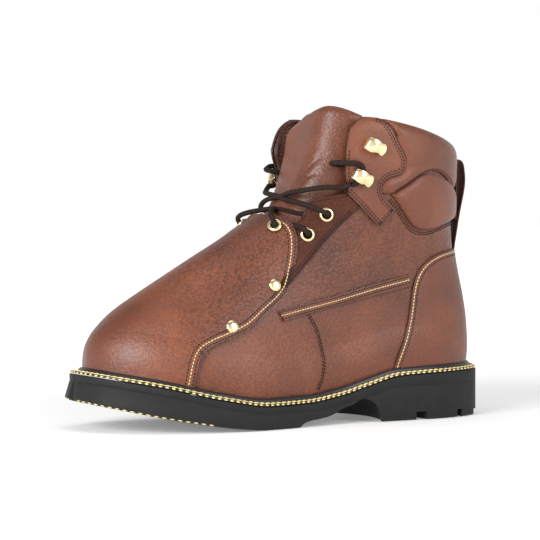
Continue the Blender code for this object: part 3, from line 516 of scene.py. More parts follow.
# %% Leather
def leather(name, base, shade, light, roughness=0.38, depth=0.00055, shine=0.42):
    material = simple_material(name, base, roughness)
    tree = material.node_tree
    shader = tree.nodes["Principled BSDF"]
    clouds = ramp(tree, noise_at(tree, 17, 3), 0.36, 0.68)
    colour = mixed(tree, clouds, shade, light)
    patches = ramp(tree, noise_at(tree, 55, 4), 0.30, 0.75)
    colour = mixed(tree, sum_of(tree, "MULTIPLY", patches, 0.55), colour, base)
    cells = node_at(tree, "ShaderNodeTexVoronoi", feature="SMOOTH_F1", Scale=540, Smoothness=0.6)
    wobble = node_at(tree, "ShaderNodeTexNoise", Scale=240)
    coordinates = node_at(tree, "ShaderNodeTexCoord").outputs["Object"]
    tree.links.new(coordinates, wobble.inputs["Vector"])
    moved = node_at(tree, "ShaderNodeVectorMath", operation="MULTIPLY_ADD")
    moved.inputs[1].default_value = (0.0022, 0.0022, 0.0022)
    tree.links.new(wobble.outputs["Color"], moved.inputs[0])
    tree.links.new(coordinates, moved.inputs[2])
    tree.links.new(moved.outputs[0], cells.inputs["Vector"])
    grain = attribute_of(tree, "grain")
    pebbles = sum_of(tree, "MULTIPLY", sum_of(tree, "SUBTRACT", 1.0, cells.outputs["Distance"]), grain)
    # painted shade: the valleys between the grain's pebbles are coloured darker, as shade falls in them
    creases = sum_of(tree, "MULTIPLY", ramp(tree, cells.outputs["Distance"], 0.28, 0.70), grain)
    colour = mixed(tree, sum_of(tree, "MULTIPLY", creases, 0.60), colour, tuple(0.42 * c for c in shade))
    # painted shade: a darker band on the face along each piece's cut line, where the edge dips at its seam
    colour = mixed(tree, attribute_of(tree, "edge"), colour, tuple(0.25 * c for c in shade))
    tree.links.new(colour, shader.inputs["Base Color"])
    gloss = sum_of(tree, "ADD", sum_of(tree, "MULTIPLY", noise_at(tree, 34, 3), 0.22), roughness - 0.11)
    tree.links.new(gloss, shader.inputs["Roughness"])
    shader.inputs["Specular IOR Level"].default_value = shine
    shader.inputs["Coat Weight"].default_value = 0.05
    shader.inputs["Coat Roughness"].default_value = 0.30
    fine = sum_of(tree, "MULTIPLY", noise_at(tree, 1500, 2), 0.32)
    bumped(material, sum_of(tree, "ADD", pebbles, fine), depth)
    return material


BROWN = (0.138, 0.038, 0.017)
SHADE = (0.088, 0.024, 0.012)
LIGHT = (0.208, 0.060, 0.024)
leather_brown = leather("brown_pull_up_leather", BROWN, SHADE, LIGHT)
leather_dark = leather("oiled_facing_leather", (0.074, 0.019, 0.009), (0.050, 0.013, 0.007),
                       (0.112, 0.031, 0.013), 0.46, shine=0.16)
print("leathers", leather_brown.name, leather_dark.name)


# %% Rubber, brass, thread, lace and lining
def plain_finish(name, colour, roughness, scale, depth, stretch=None, spread=0.25, shine=0.15):
    """One even finish whose tone and surface wander a little."""
    material = simple_material(name, colour, roughness)
    tree = material.node_tree
    shader = tree.nodes["Principled BSDF"]
    tone = mixed(tree, noise_at(tree, scale * 0.2, 3), tuple(c * (1 - spread) for c in colour),
                 tuple(c * (1 + spread) for c in colour))
    tree.links.new(tone, shader.inputs["Base Color"])
    shader.inputs["Specular IOR Level"].default_value = shine
    bumped(material, noise_at(tree, scale, 3, stretch=stretch), depth)
    return material


rubber = plain_finish("black_rubber", (0.013, 0.0125, 0.0133), 0.60, 520, 0.00024, (1, 1, 3.5), 0.35, 0.22)
bead_rubber = plain_finish("welt_rubber", (0.013, 0.012, 0.013), 0.34, 260, 0.00008, shine=0.40)
# the rims of the leather pieces: the cut edge's dark brown, made darker still as painted shade along each
# edge
cut_edge_and_shade = plain_finish("cut_edge", (0.050, 0.020, 0.013), 0.75, 900, 0.0001)
brass = plain_finish("polished_brass", (0.90, 0.74, 0.43), 0.19, 300, 0.00002, spread=0.06, shine=0.5)
brass.node_tree.nodes["Principled BSDF"].inputs["Metallic"].default_value = 1.0
black_thread = plain_finish("black_thread", (0.018, 0.012, 0.011), 0.62, 1500, 0.00008)
cream_thread = plain_finish("cream_thread", (0.66, 0.49, 0.24), 0.60, 1500, 0.00008)
welt_thread = plain_finish("waxed_welt_thread", (0.72, 0.57, 0.25), 0.58, 1200, 0.0001)
lace_cloth = plain_finish("brown_braid", (0.020, 0.0115, 0.009), 0.78, 1600, 0.00012)
lining_cloth = plain_finish("brown_lining", (0.055, 0.030, 0.020), 0.90, 1400, 0.00018)
felt_cloth = plain_finish("grey_green_felt", (0.25, 0.27, 0.22), 0.92, 1300, 0.0003)
print("finishes", len(bpy.data.materials))


# %% [markdown]
# A leather piece is cut flat, laid over the last and sewn down. Here a flat grid is laid over the last
# in the same way: its faces outside the cut line are deleted, the vertices left along that line are
# moved onto it, and a Solidify modifier gives it its thickness inwards. Near its edge the piece dips
# where the seam pulls it down.
# %% Helpers for laying a grid over the last
def only(piece):
    """Selects one object and nothing else."""
    bpy.ops.object.select_all(action="DESELECT")
    piece.select_set(True)
    bpy.context.view_layer.objects.active = piece


def apply_modifiers(piece):
    only(piece)
    for modifier in list(piece.modifiers):
        bpy.ops.object.modifier_apply(modifier=modifier.name)


def smooth_faces(piece, degrees=38):
    only(piece)
    bpy.ops.object.shade_smooth_by_angle(angle=math.radians(degrees))


def outward_faces(piece):
    """Turns the faces of a closed piece so that they all face out."""
    only(piece)
    bpy.ops.object.mode_set(mode="EDIT")
    bpy.ops.mesh.select_all(action="SELECT")
    bpy.ops.mesh.normals_make_consistent(inside=False)
    bpy.ops.object.mode_set(mode="OBJECT")


def thicken(piece, thickness, offset, **settings):
    """Adds the modifier that gives a sheet its thickness."""
    wall = piece.modifiers.new("thickness", "SOLIDIFY")
    wall.thickness = thickness
    wall.offset = offset
    for name, value in settings.items():
        setattr(wall, name, value)
    return wall


def dress(piece, slot, *materials, nodes=()):
    """Puts a finished piece on the boot with its materials, and hides the solids it stands for. slot is not
    used.
    """
    piece.data.materials.clear()
    for material in materials:
        piece.data.materials.append(material)
    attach(piece, "root")
    if nodes:
        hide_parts(*nodes)
    print(piece.name, len(piece.data.polygons), "faces")


def new_grid(name, points):
    """A grid primitive whose vertices go to an array of rows of points."""
    rows, columns = points.shape[:2]
    bpy.ops.object.select_all(action="DESELECT")
    bpy.ops.mesh.primitive_grid_add(x_subdivisions=columns - 1, y_subdivisions=rows - 1, size=2)
    piece = bpy.context.object
    piece.name = piece.data.name = name
    flat = np.zeros(rows * columns * 3)
    piece.data.vertices.foreach_get("co", flat)
    flat = flat.reshape(-1, 3)
    order = np.lexsort((flat[:, 0].round(5), flat[:, 1].round(5)))
    flat[order] = points.reshape(-1, 3)
    piece.data.vertices.foreach_set("co", flat.ravel())
    piece.data.update()
    return piece, order


def set_attribute(piece, name, values):
    made = piece.data.attributes.get(name) or piece.data.attributes.new(name, "FLOAT", "POINT")
    made.data.foreach_set("value", np.asarray(values, np.float32).ravel())


def get_attribute(piece, name):
    values = np.zeros(len(piece.data.vertices), np.float32)
    piece.data.attributes[name].data.foreach_get("value", values)
    return values.astype(float)


def off_segment(x, y, start, end):
    """Distance from the straight line between two places, and how far along it the nearest place is."""
    along = np.array([end[0] - start[0], end[1] - start[1]])
    share = np.clip(((x - start[0]) * along[0] + (y - start[1]) * along[1]) / (along @ along), 0, 1)
    return np.hypot(x - start[0] - share * along[0], y - start[1] - share * along[1]), share


def in_outline(outline, station, height):
    """True where a place is inside a closed outline of stations and heights."""
    inside = np.zeros(np.shape(station), bool)
    for (s1, h1), (s2, h2) in zip(outline, [*outline[1:], outline[0]]):
        if h1 == h2:
            continue
        crosses = (h1 > height) != (h2 > height)
        inside ^= crosses & (station < s1 + (s2 - s1) * (height - h1) / (h2 - h1))
    return inside


def soft_line(rows, step=0.0006):
    """A row of given stations and heights as one smooth line of close points."""
    rows = np.array(rows, float)
    along = np.concatenate([[0], np.cumsum(np.linalg.norm(np.diff(rows, axis=0), axis=1))])
    at = np.linspace(0, along[-1], max(3, int(along[-1] / step)))
    if len(rows) < 3:
        return np.stack([np.interp(at, along, rows[:, i]) for i in (0, 1)], -1)
    return np.stack([spline_through(along, rows[:, i])(at) for i in (0, 1)], -1)


def rounded(line, radius):
    """The same line with its corners eased over a radius, its ends kept."""
    line = np.array(line, float)
    gaps = np.linalg.norm(np.diff(line, axis=0), axis=1)
    along = np.concatenate([[0], np.cumsum(gaps)])
    at = np.linspace(0, along[-1], max(8, int(along[-1] / 0.0004)))
    line = np.stack([np.interp(at, along, line[:, i]) for i in (0, 1)], -1)
    for _ in range(max(1, int((radius / 0.0004) ** 2 / 2))):
        line[1:-1] = (line[:-2] + 2 * line[1:-1] + line[2:]) / 4
    return line


ROLL_SHARE = 0.98


def skin_points(turn, level):
    """The leather's outer face with its rolled-in collar, and its normals."""
    points = last_points(turn, level)
    normals = last_normals(turn, level)
    top = collar_height(HEEL_BACK - points[..., 1])
    share = np.clip((points[..., 2] - top + ROLL_HEIGHT) / ROLL_HEIGHT, 0, 1)
    roll = COLLAR_ROLL * (1 - np.sqrt(np.maximum(1 - share**2 * ROLL_SHARE, 0)))
    return points - normals * (1, 1, 0) * roll[..., None], normals


def line_places(side, line):
    """Turns, levels, points and normals along a line of stations and heights on one side."""
    turn, level = place_of(side, line[:, 0], line[:, 1])
    points, normals = skin_points(turn, level)
    return turn, level, points, normals


# %% The panel builder
def nearest_on(curves, points):
    """For each point, the distance to the nearest curve sample and that sample's index."""
    total = sum(len(curve[2]) for curve in curves)
    tree = KDTree(total)
    index = 0
    for curve in curves:
        for point in curve[2]:
            tree.insert(point, index)
            index += 1
    tree.balance()
    found = [tree.find(point) for point in points]
    return np.array([f[2] for f in found]), np.array([f[1] for f in found])


def edge_dip(distance, seam, width=0.0009, depth=0.00028):
    """How far the leather is pulled down at its edge and along its seam."""
    rim = 0.00045 * (1 - smooth(distance, 0, 0.0013))
    return rim + depth * np.exp(-(((distance - seam) / width) ** 2))


def panel(name, turns, levels, inside, lines, height, thickness, cell=0.0012, seams=(0.0021,),
          grain=None, relief=None, thick=None, backing=0):
    """Lays a grid over the last between two turns and two levels and trims it to its cut lines.

    inside takes side, station, height and x. lines are pairs of a side and a line of places. height
    is how far the piece's underside is off the skin."""
    middle = np.linspace(*turns, 60)
    width = np.linalg.norm(np.diff(last_points(middle, np.full(60, np.mean(levels))), axis=0), axis=1).sum()
    rise = np.linspace(*levels, 60)
    tall = np.linalg.norm(np.diff(last_points(np.full(60, np.mean(turns)), rise), axis=0), axis=1).sum()
    columns, rows = int(width / cell) + 2, int(max(tall, 0.01) / cell) + 2
    turn, level = np.meshgrid(np.linspace(*turns, columns), np.linspace(*levels, rows))
    points, _ = skin_points(turn, level)
    piece, order = new_grid(name, points)
    for key, values in (("turn", turn), ("level", level)):
        flat = np.zeros(rows * columns)
        flat[order] = values.ravel()
        set_attribute(piece, key, flat)

    centres = np.zeros(len(piece.data.polygons) * 3)
    piece.data.polygons.foreach_get("center", centres)
    centres = centres.reshape(-1, 3)
    stations = HEEL_BACK - centres[:, 1]
    keep = inside(np.where(centres[:, 0] >= 0, 1, -1), stations, centres[:, 2], centres[:, 0])
    shape = bmesh.new()
    shape.from_mesh(piece.data)
    shape.faces.ensure_lookup_table()
    outside = [shape.faces[i] for i in np.where(~keep)[0]]
    bmesh.ops.delete(shape, geom=outside, context="FACES")
    if turns[1] - turns[0] > 6.28:
        bmesh.ops.remove_doubles(shape, verts=shape.verts, dist=1e-5)
    bmesh.ops.reverse_faces(shape, faces=shape.faces)
    shape.verts.ensure_lookup_table()
    on_border = np.array([v.is_boundary for v in shape.verts])
    shape.to_mesh(piece.data)
    shape.free()

    turn, level = get_attribute(piece, "turn"), get_attribute(piece, "level")
    curves = [line_places(side, np.asarray(line)) for side, line in lines]
    joined = [np.concatenate([curve[i] for curve in curves]) for i in range(2)]
    points, _ = skin_points(turn, level)
    distance, index = nearest_on(curves, points)
    snap = on_border & (distance < 1.1 * cell)
    turn[snap], level[snap] = joined[0][index[snap]], np.minimum(joined[1][index[snap]], levels[1])
    points, normals = skin_points(turn, level)
    distance[snap] = 0
    stations, heights = HEEL_BACK - points[:, 1], points[:, 2]
    out = np.full(len(points), height + thickness)
    for seam in seams:
        out -= edge_dip(distance, seam) / max(1, len(seams))
    if relief is not None:
        out = out + relief(np.where(points[:, 0] >= 0, 1, -1), stations, heights, distance)
    points = points + normals * out[:, None]
    piece.data.vertices.foreach_set("co", points.ravel())
    grains = np.ones(len(points)) if grain is None else grain(stations, heights)
    set_attribute(piece, "grain", grains)
    # the edge attribute marks the band within a millimetre of the cut line that is painted darker as shade
    set_attribute(piece, "edge", 0.8 * (1 - smooth(distance, 0.0001, 0.0010)))
    piece.data.attributes.remove(piece.data.attributes["turn"])
    piece.data.attributes.remove(piece.data.attributes["level"])
    solid = thicken(piece, thickness, -1, material_offset=backing, material_offset_rim=1)
    if thick is not None:
        walls = thick(stations, heights)
        group = piece.vertex_groups.new(name="thick")
        for i, weight in enumerate(walls / walls.max()):
            group.add([i], float(weight), "REPLACE")
        solid.thickness = float(walls.max())
        solid.vertex_group = "thick"
        solid.thickness_vertex_group = 0.0
    apply_modifiers(piece)
    piece.vertex_groups.clear()
    smooth_faces(piece)
    return piece


print("the panel builder is ready")

# %% [markdown]
# The cut lines are the construction's, a station and a height for each point. On the real boot they
# are the edges of a card pattern. The throat's edges are found from its half widths, because there the
# leather faces forward.
# %% Cut lines
GUARD_BORDER = (
    (0.2470, 0.0100), (0.2440, 0.0400), (0.2400, 0.0510), (0.2300, 0.0575), (0.2150, 0.0630),
    (0.2020, 0.0690), (0.1900, 0.0775), (0.1780, 0.0860), (0.1700, 0.0945), (0.1650, 0.1060),
    (0.1620, 0.1160), (0.1600, 0.1280), (0.1603, 0.1360), (0.1625, 0.1410), (0.1670, 0.1440),
    (0.1730, 0.1446),
)
COUNTER_BORDER = (
    (0.0850, 0.0250), (0.0810, 0.0420), (0.0740, 0.0590), (0.0690, 0.0780), (0.0660, 0.0950),
    (0.0600, 0.1070), (0.0490, 0.1150), (0.0300, 0.1200), (0.0000, 0.1220),
)
STRIP_LOW = ((0.1750, 0.0725), (0.1500, 0.0780), (0.1280, 0.0825), (0.1000, 0.0880), (0.0690, 0.0945))
STRIP_TOP = ((0.1790, 0.0800), (0.1500, 0.0860), (0.1280, 0.0905), (0.1000, 0.0970), (0.0690, 0.1035))
EYESTAY_BACK = ((0.1705, 0.0960), (0.1610, 0.1050), (0.1500, 0.1170), (0.1360, 0.1320), (0.1150, 0.1510))
EYESTAY_TOP = 0.1632
PANEL_FOOT = ((0.1300, 0.1658), (0.1280, 0.1640), (0.0990, 0.1370), (0.0870, 0.1500))
PANEL_BACK = (
    (0.0870, 0.1500), (0.0940, 0.1556), (0.0985, 0.1600), (0.0995, 0.1665), (0.0950, 0.1720),
    (0.0840, 0.1760), (0.0815, 0.1830), (0.0860, 0.1930), (0.0930, 0.2055), (0.0995, 0.2125),
    (0.1070, 0.2160),
)
# closes the panel's outline in the throat
PANEL_FRONT = ((0.1700, 0.2160), (0.1700, 0.1658))
TOP_CORNER = ((0.1070, 0.2160), (0.1150, 0.2138), (0.1215, 0.2085), (0.1265, 0.2010), (0.1310, 0.1900))
CORNER_SHIFT = {1: 0.0, -1: 0.0135}
CUFF_SEAM = (
    (0.0905, 0.1605), (0.0780, 0.1675), (0.0660, 0.1745), (0.0540, 0.1770), (0.0430, 0.1740),
    (0.0310, 0.1670), (0.0160, 0.1625), (0.0000, 0.1620),
)
PAD_LOWER = (
    (0.0000, 0.1430), (0.0260, 0.1420), (0.0440, 0.1375), (0.0560, 0.1350), (0.0680, 0.1370),
    (0.0770, 0.1450), (0.0900, 0.1590),
)
VAMP_SEAM = (
    (0.1580, 0.0800), (0.1550, 0.0750), (0.1500, 0.0670), (0.1460, 0.0550), (0.1440, 0.0460),
    (0.1450, 0.0350), (0.1490, 0.0240),
)
EYELETS = ((0.1530, 0.1320), (0.1390, 0.1460))
GUARD_EYELET = (0.1718, 0.1362)
HOLE_RADIUS = 0.0034
GUARD_THICKNESS = 0.0030
OVERLAY_THICKNESS = 0.0015
WALL = 0.0024
COLLAR_WALL = 0.0066
WORDS = {1: "lateral", -1: "medial"}

guard_line = soft_line(GUARD_BORDER)
counter_line = soft_line(COUNTER_BORDER)
strip_low, strip_top = soft_line(STRIP_LOW), soft_line(STRIP_TOP)
eyestay_line = soft_line(EYESTAY_BACK)
panel_line = rounded([*PANEL_FOOT[:-1], *soft_line(PANEL_BACK)], 0.0012)
full_panel = [*panel_line.tolist(), *PANEL_FRONT]
corner_line = soft_line(TOP_CORNER)
cuff_line = soft_line(CUFF_SEAM)
pad_line = soft_line(PAD_LOWER)
vamp_line = soft_line(VAMP_SEAM)


def front_place(side, x, height):
    """Station of the place on the boot's front that has this half width and height."""
    turns = np.linspace(1.2, math.pi, 241)
    level = np.full(241, float(level_of(0.15, height)))
    for _ in range(4):
        points = side_points(side, turns, level)
        level = level_of(HEEL_BACK - points[:, 1], height)
    order = np.argsort(side * points[:, 0])
    turn = float(np.interp(x, side * points[order, 0], turns[order]))
    level = float(np.interp(x, side * points[order, 0], level[order]))
    at_back = float(np.interp(level, LEVEL_STEPS, back_of_level))
    at_front = float(np.interp(level, LEVEL_STEPS, front_of_level))
    return at_back + (at_front - at_back) * (1 - math.cos(turn)) / 2


throat_line = {
    side: np.array([
        (front_place(side, float(throat_reach[side](h)), h), h) for h in np.linspace(0.1045, 0.2145, 180)
    ])
    for side in (1, -1)
}


def in_throat(side, station, height, x):
    """True in the laced opening and over the rounded corner above it."""
    reach = np.where(side > 0, throat_reach[1](height), throat_reach[-1](height))
    opening = (height > 0.104) & (station > 0.12) & (np.abs(x) < reach)
    shift = np.where(side > 0, CORNER_SHIFT[1], CORNER_SHIFT[-1])
    corner = np.interp(height, corner_line[::-1, 1], corner_line[::-1, 0]) + shift
    return opening | ((height > 0.1905) & (station > corner))


def hole_at(x, station, height, places, radius=HOLE_RADIUS):
    """True where a face's middle falls in an eyelet's hole, on either side."""
    inside = np.zeros(np.shape(x), bool)
    for side in (1, -1):
        for place in places:
            middle, _ = skin(side, *place)
            away = (x - middle.x) ** 2 + (HEEL_BACK - station - middle.y) ** 2 + (height - middle.z) ** 2
            inside |= away < radius**2
    return inside


def corner_for(side):
    """The rounded corner's line, in stations before the lean."""
    line = corner_line + (CORNER_SHIFT[side], 0)
    if side < 0:
        turn = 2 * math.pi - place_of(side, line[:, 0], line[:, 1])[0]
        line[:, 0] -= lean_at(side, turn, line[:, 1])
    return line


print("throat at the top", throat_line[1][-1].round(4), throat_line[-1][-1].round(4))


# %% [markdown]
# Leather that has been lasted and worn is never quite even. The marks are listed one by one, each a soft
# trough between two places: two shallow folds where the vamp bends, a pull beside the strip, the sink
# above the heel and the hollow round each rivet.
# %% Creases
# side, first place, second place, half width, depth
CREASES = (
    (0, (0.2350, 0.0880), (0.2080, 0.0760), 0.0042, 0.00045),
    (0, (0.2480, 0.0760), (0.2280, 0.0660), 0.0035, 0.00030),
    (1, (0.1930, 0.0660), (0.1640, 0.0560), 0.0040, 0.00050),
    (1, (0.1850, 0.0520), (0.1620, 0.0440), 0.0034, 0.00040),
    (-1, (0.1950, 0.0600), (0.1600, 0.0540), 0.0040, 0.00055),
    (-1, (0.1880, 0.0480), (0.1580, 0.0430), 0.0034, 0.00040),
    (1, (0.1330, 0.1220), (0.0960, 0.1180), 0.0050, 0.00045),
    (1, (0.1200, 0.1330), (0.0960, 0.1290), 0.0036, 0.00035),
    (-1, (0.1350, 0.1180), (0.0980, 0.1210), 0.0050, 0.00050),
    (0, (0.0560, 0.1290), (0.0300, 0.1310), 0.0032, 0.00040),
    (0, (0.1120, 0.0760), (0.0940, 0.0620), 0.0060, 0.00040),
    (0, (0.0560, 0.0560), (0.0180, 0.0600), 0.0070, 0.00035),
    (0, (0.0500, 0.0840), (0.0250, 0.0860), 0.0050, 0.00030),
)


def crease_depth(side, station, height):
    total = np.zeros(np.shape(station))
    for which, start, end, width, depth in CREASES:
        away, share = off_segment(station, height, start, end)
        fade = np.exp(-((away / width) ** 2)) * (0.55 + 0.45 * np.sin(np.pi * share))
        total += np.where((side == which) | (which == 0), depth * fade, 0)
    return total


print(len(CREASES), "creases")


# %% [markdown]
# The upper goes on first. Its lining side is a second face inside, thicker at the collar where foam is
# sewn in, and the laced opening is cut from it.
# %% Upper
RIVETS = ((0.2170, 0.0700, 0.0027), (0.1810, 0.0970, 0.0037))
SEAM_STEP = 0.0006


def line_distance(line, station, height):
    """Distance in the side view to a line of close points, with the side of it: forward is plus."""
    flat = np.stack([np.ravel(station), np.ravel(height)], -1)
    tree = KDTree(len(line))
    for i, (s, h) in enumerate(line):
        tree.insert((s, h, 0), i)
    tree.balance()
    away = np.array([tree.find((s, h, 0))[2] for s, h in flat])
    edge = np.interp(flat[:, 1], *(line[np.argsort(line[:, 1])][:, ::-1].T))
    return (np.where(flat[:, 0] > edge, 1, -1) * away).reshape(np.shape(station))


def upper_relief(side, station, height, distance):
    seam = line_distance(vamp_line, station, height)
    near = (height < 0.080) & (height > 0.018)
    step = np.where(near, SEAM_STEP * smooth(seam, -0.0004, 0.0004) * (1 - smooth(seam, 0.004, 0.020)), 0)
    thread = np.where(near, 0.0003 * np.exp(-(((seam - 0.0019) / 0.0012) ** 2)), 0)
    return step - thread - crease_depth(side, station, height)


def upper_wall(station, height):
    to_collar = collar_height(station) - height
    high = (1 - smooth(to_collar, 0.012, 0.045)) * (1 - smooth(station, 0.060, 0.090))
    return WALL + (COLLAR_WALL - WALL) * high


def in_upper(side, station, height, x):
    under_cuff = (station < 0.098) & (height > collar_height(station) - 0.0045)
    return ~in_throat(side, station, height, x) & ~hole_at(x, station, height, EYELETS) & ~under_cuff


def upper_grain(station, height):
    low = 0.55 + 0.45 * smooth(height, 0.075, 0.105)
    return low * (0.75 + 0.25 * smooth(station, 0.08, 0.15))


edges = [(side, line) for side in (1, -1) for line in (throat_line[side], corner_for(side))]
upper = panel("dressed_upper", (0, 2 * math.pi), (0.010, 1.0), in_upper, edges, 0.0, 0.0, 0.0018, (),
              upper_grain, upper_relief, upper_wall, backing=2)
dress(upper, "brown_leather", leather_brown, cut_edge_and_shade, lining_cloth, nodes=("upper",))

# %% [markdown]
# The guard is one moulded piece over toe and instep, three millimetres thick and lined with felt. It
# dips at its stitching and round each rivet. Grain shows most at its rear, where it isn't stretched.
# %% Guard
guard_outline = [(0.2480, 0.0), (0.3300, 0.0), (0.3300, 0.1446), *guard_line[::-1].tolist()]


def in_guard(side, station, height, x):
    return in_outline(guard_outline, station, height) & ~hole_at(x, station, height, [GUARD_EYELET])


def guard_relief(side, station, height, distance):
    hollow = np.zeros(np.shape(station))
    for s, h, _ in RIVETS:
        hollow += 0.0005 * np.exp(-(((station - s) ** 2 + (height - h) ** 2) / 0.0062**2))
    middle_seam = 0.00025 * np.exp(-(((distance - 0.0066) / 0.0008) ** 2))
    return -hollow - middle_seam - crease_depth(side, station, height)


def guard_grain(station, height):
    return 0.40 + 0.60 * smooth(0.268 - station, 0, 0.050)


guard_turn = float(place_of(1, 0.1560, 0.1200)[0])
guard = panel("dressed_guard", (guard_turn, 2 * math.pi - guard_turn), (0.010, 0.665), in_guard,
              [(1, guard_line), (-1, guard_line)], GAP, GUARD_THICKNESS, 0.0012, (0.0021, 0.0043),
              guard_grain, guard_relief, backing=2)
dress(guard, "brown_leather", leather_brown, cut_edge_and_shade, lining_cloth, nodes=("guard",))

# %% [markdown]
# The counter, the side strips and the facings are thinner leathers sewn on the upper. They are cut with
# the same builder.
# %% Heel counter
counter_outline = [(-0.02, 0.0), (0.0860, 0.0), *counter_line.tolist(), (-0.02, 0.1220)]


def in_counter(side, station, height, x):
    return in_outline(counter_outline, station, height)


def plain_relief(side, station, height, distance):
    return -crease_depth(side, station, height)


def even_grain(strength):
    """Grain of one strength all over a piece."""
    return lambda station, height: np.full(np.shape(station), strength)


counter_turn = float(place_of(1, 0.0880, 0.0400)[0])
counter = panel("dressed_counter", (-counter_turn, counter_turn), (0.010, 0.60), in_counter,
                [(1, counter_line), (-1, counter_line)], GAP, OVERLAY_THICKNESS, 0.0012, (0.0021, 0.0044),
                even_grain(0.35), plain_relief)
dress(counter, "brown_leather", leather_brown, cut_edge_and_shade, nodes=("heel_counter",))


# %% Strips, facings and hook panels
def turns_between(side, first, last, height):
    """The two turns of a side that hold two stations, in rising order."""
    found = [float(place_of(side, station, height)[0]) for station in (first, last)]
    return min(found), max(found)


def below_guard(station, height):
    """True where the guard covers the boot by more than its edge."""
    return in_outline(guard_outline, station - 0.0065, height)


for side in (1, -1):
    word = WORDS[side]
    strip_outline = [*strip_low.tolist(), *strip_top[::-1].tolist()]

    def in_strip(which, station, height, x, outline=strip_outline):
        return in_outline(outline, station, height) & ~in_outline(guard_outline, station - 0.0030, height)

    strip = panel(f"dressed_strip_{word}", turns_between(side, 0.064, 0.184, 0.085), (0.28, 0.50), in_strip,
                  [(side, strip_low), (side, strip_top)], GAP, OVERLAY_THICKNESS, 0.0010, (0.0014, 0.0037),
                  even_grain(0.45), plain_relief)
    dress(strip, "brown_leather", leather_brown, cut_edge_and_shade, nodes=(f"side_strip_{word}",))

    facing_outline = [*eyestay_line.tolist(), (0.1275, EYESTAY_TOP), (0.1900, EYESTAY_TOP), (0.1900, 0.0960)]
    top_line = np.stack([np.linspace(0.120, 0.175, 90), np.full(90, EYESTAY_TOP)], -1)

    def in_facing(which, station, height, x, outline=facing_outline):
        open_parts = in_throat(which, station, height, x) | hole_at(x, station, height, EYELETS)
        covered = in_outline(full_panel, station + 0.004, height - 0.004)
        return in_outline(outline, station, height) & ~open_parts & ~below_guard(station, height) & ~covered

    facing = panel(f"dressed_facing_{word}", turns_between(side, 0.110, 0.178, 0.130), (0.38, 0.80),
                   in_facing, [(side, eyestay_line), (side, throat_line[side]), (side, top_line)],
                   GAP, OVERLAY_THICKNESS, 0.0010, (0.0020,), even_grain(0.6), plain_relief)
    dress(facing, "brown_leather", leather_dark, cut_edge_and_shade, nodes=(f"eyestay_{word}",))

    def in_panel(which, station, height, x):
        return in_outline(full_panel, station, height) & ~in_throat(which, station, height, x)

    hook_panel = panel(f"dressed_hook_panel_{word}", turns_between(side, 0.078, 0.150, 0.190), (0.60, 1.0),
                       in_panel, [(side, panel_line), (side, throat_line[side]), (side, corner_for(side))],
                       GAP + 0.0012, OVERLAY_THICKNESS, 0.0010, (0.0020,),
                       even_grain(0.25), plain_relief)
    dress(hook_panel, "brown_leather", leather_brown, cut_edge_and_shade, nodes=(f"hook_panel_{word}",))

# %% [markdown]
# The collar and the ankle pad are foam under soft leather: high in the middle and sewn flat at the
# seams. The cuff rolls over the top edge and down inside, so its grid goes on over the edge.
# %% Ankle pad
PUFF = 0.0030
pad_outline = [(-0.03, 0.1430), *pad_line.tolist(), (0.0915, 0.1600), *cuff_line.tolist(), (-0.03, 0.1620)]


def puff_share(distance, reach):
    """How full a pad is at a distance from its seam."""
    share = np.clip(distance / reach, 0, 1)
    return np.sqrt(np.maximum(1 - (1 - share) ** 2, 0))


def in_pad(side, station, height, x):
    return in_outline(pad_outline, station, height)


def pad_relief(side, station, height, distance):
    return PUFF * puff_share(distance, 0.0075) * (0.86 + 0.14 * np.cos(np.pi * (height - 0.152) / 0.036))


pad_turn = float(place_of(1, 0.0945, 0.1600)[0])
pad = panel("dressed_ankle_pad", (-pad_turn, pad_turn), (0.56, 0.82), in_pad,
            [(side, line) for side in (1, -1) for line in (pad_line, cuff_line)], GAP, 0.0007, 0.0012, (),
            even_grain(0.30), pad_relief)
dress(pad, "brown_leather", leather_brown, cut_edge_and_shade, nodes=("ankle_pad",))

# %% Collar cuff
# out from the skin and up from the collar's edge, over the top and down inside
CUFF_ROLL = (
    (0.0033, -0.0100), (0.0031, -0.0075), (0.0025, -0.0050), (0.0014, -0.0027), (-0.0001, -0.0009),
    (-0.0022, 0.0001), (-0.0046, 0.0002), (-0.0070, -0.0008), (-0.0090, -0.0028), (-0.0103, -0.0058),
    (-0.0108, -0.0095), (-0.0108, -0.0140), (-0.0104, -0.0200), (-0.0098, -0.0260),
)
CUFF_FRONT = 0.1030
ROLL_CLEAR = -0.0046
CUFF_LEATHER = 0.0006
CUFF_COLUMNS = 320
CUFF_ROWS = 34
ROLL_ROWS = 34

cuff_turn = float(place_of(1, CUFF_FRONT, 0.1950)[0])
cuff_turns = np.linspace(-cuff_turn, cuff_turn, CUFF_COLUMNS)
cuff_rows = []


def seam_height(station):
    """Height of the cuff's lower seam over a station."""
    return np.interp(station, cuff_line[::-1, 0], cuff_line[::-1, 1])


def from_panel(station, height):
    """Distance outside the hook panel's cut edge, minus where it is under the panel."""
    forward = np.ravel(station)[:, None] - panel_line[None, :, 0]
    upward = np.ravel(height)[:, None] - panel_line[None, :, 1]
    away = np.min(np.hypot(forward, upward), axis=1).reshape(np.shape(station))
    return np.where(in_outline(full_panel, station, height), -away, away)


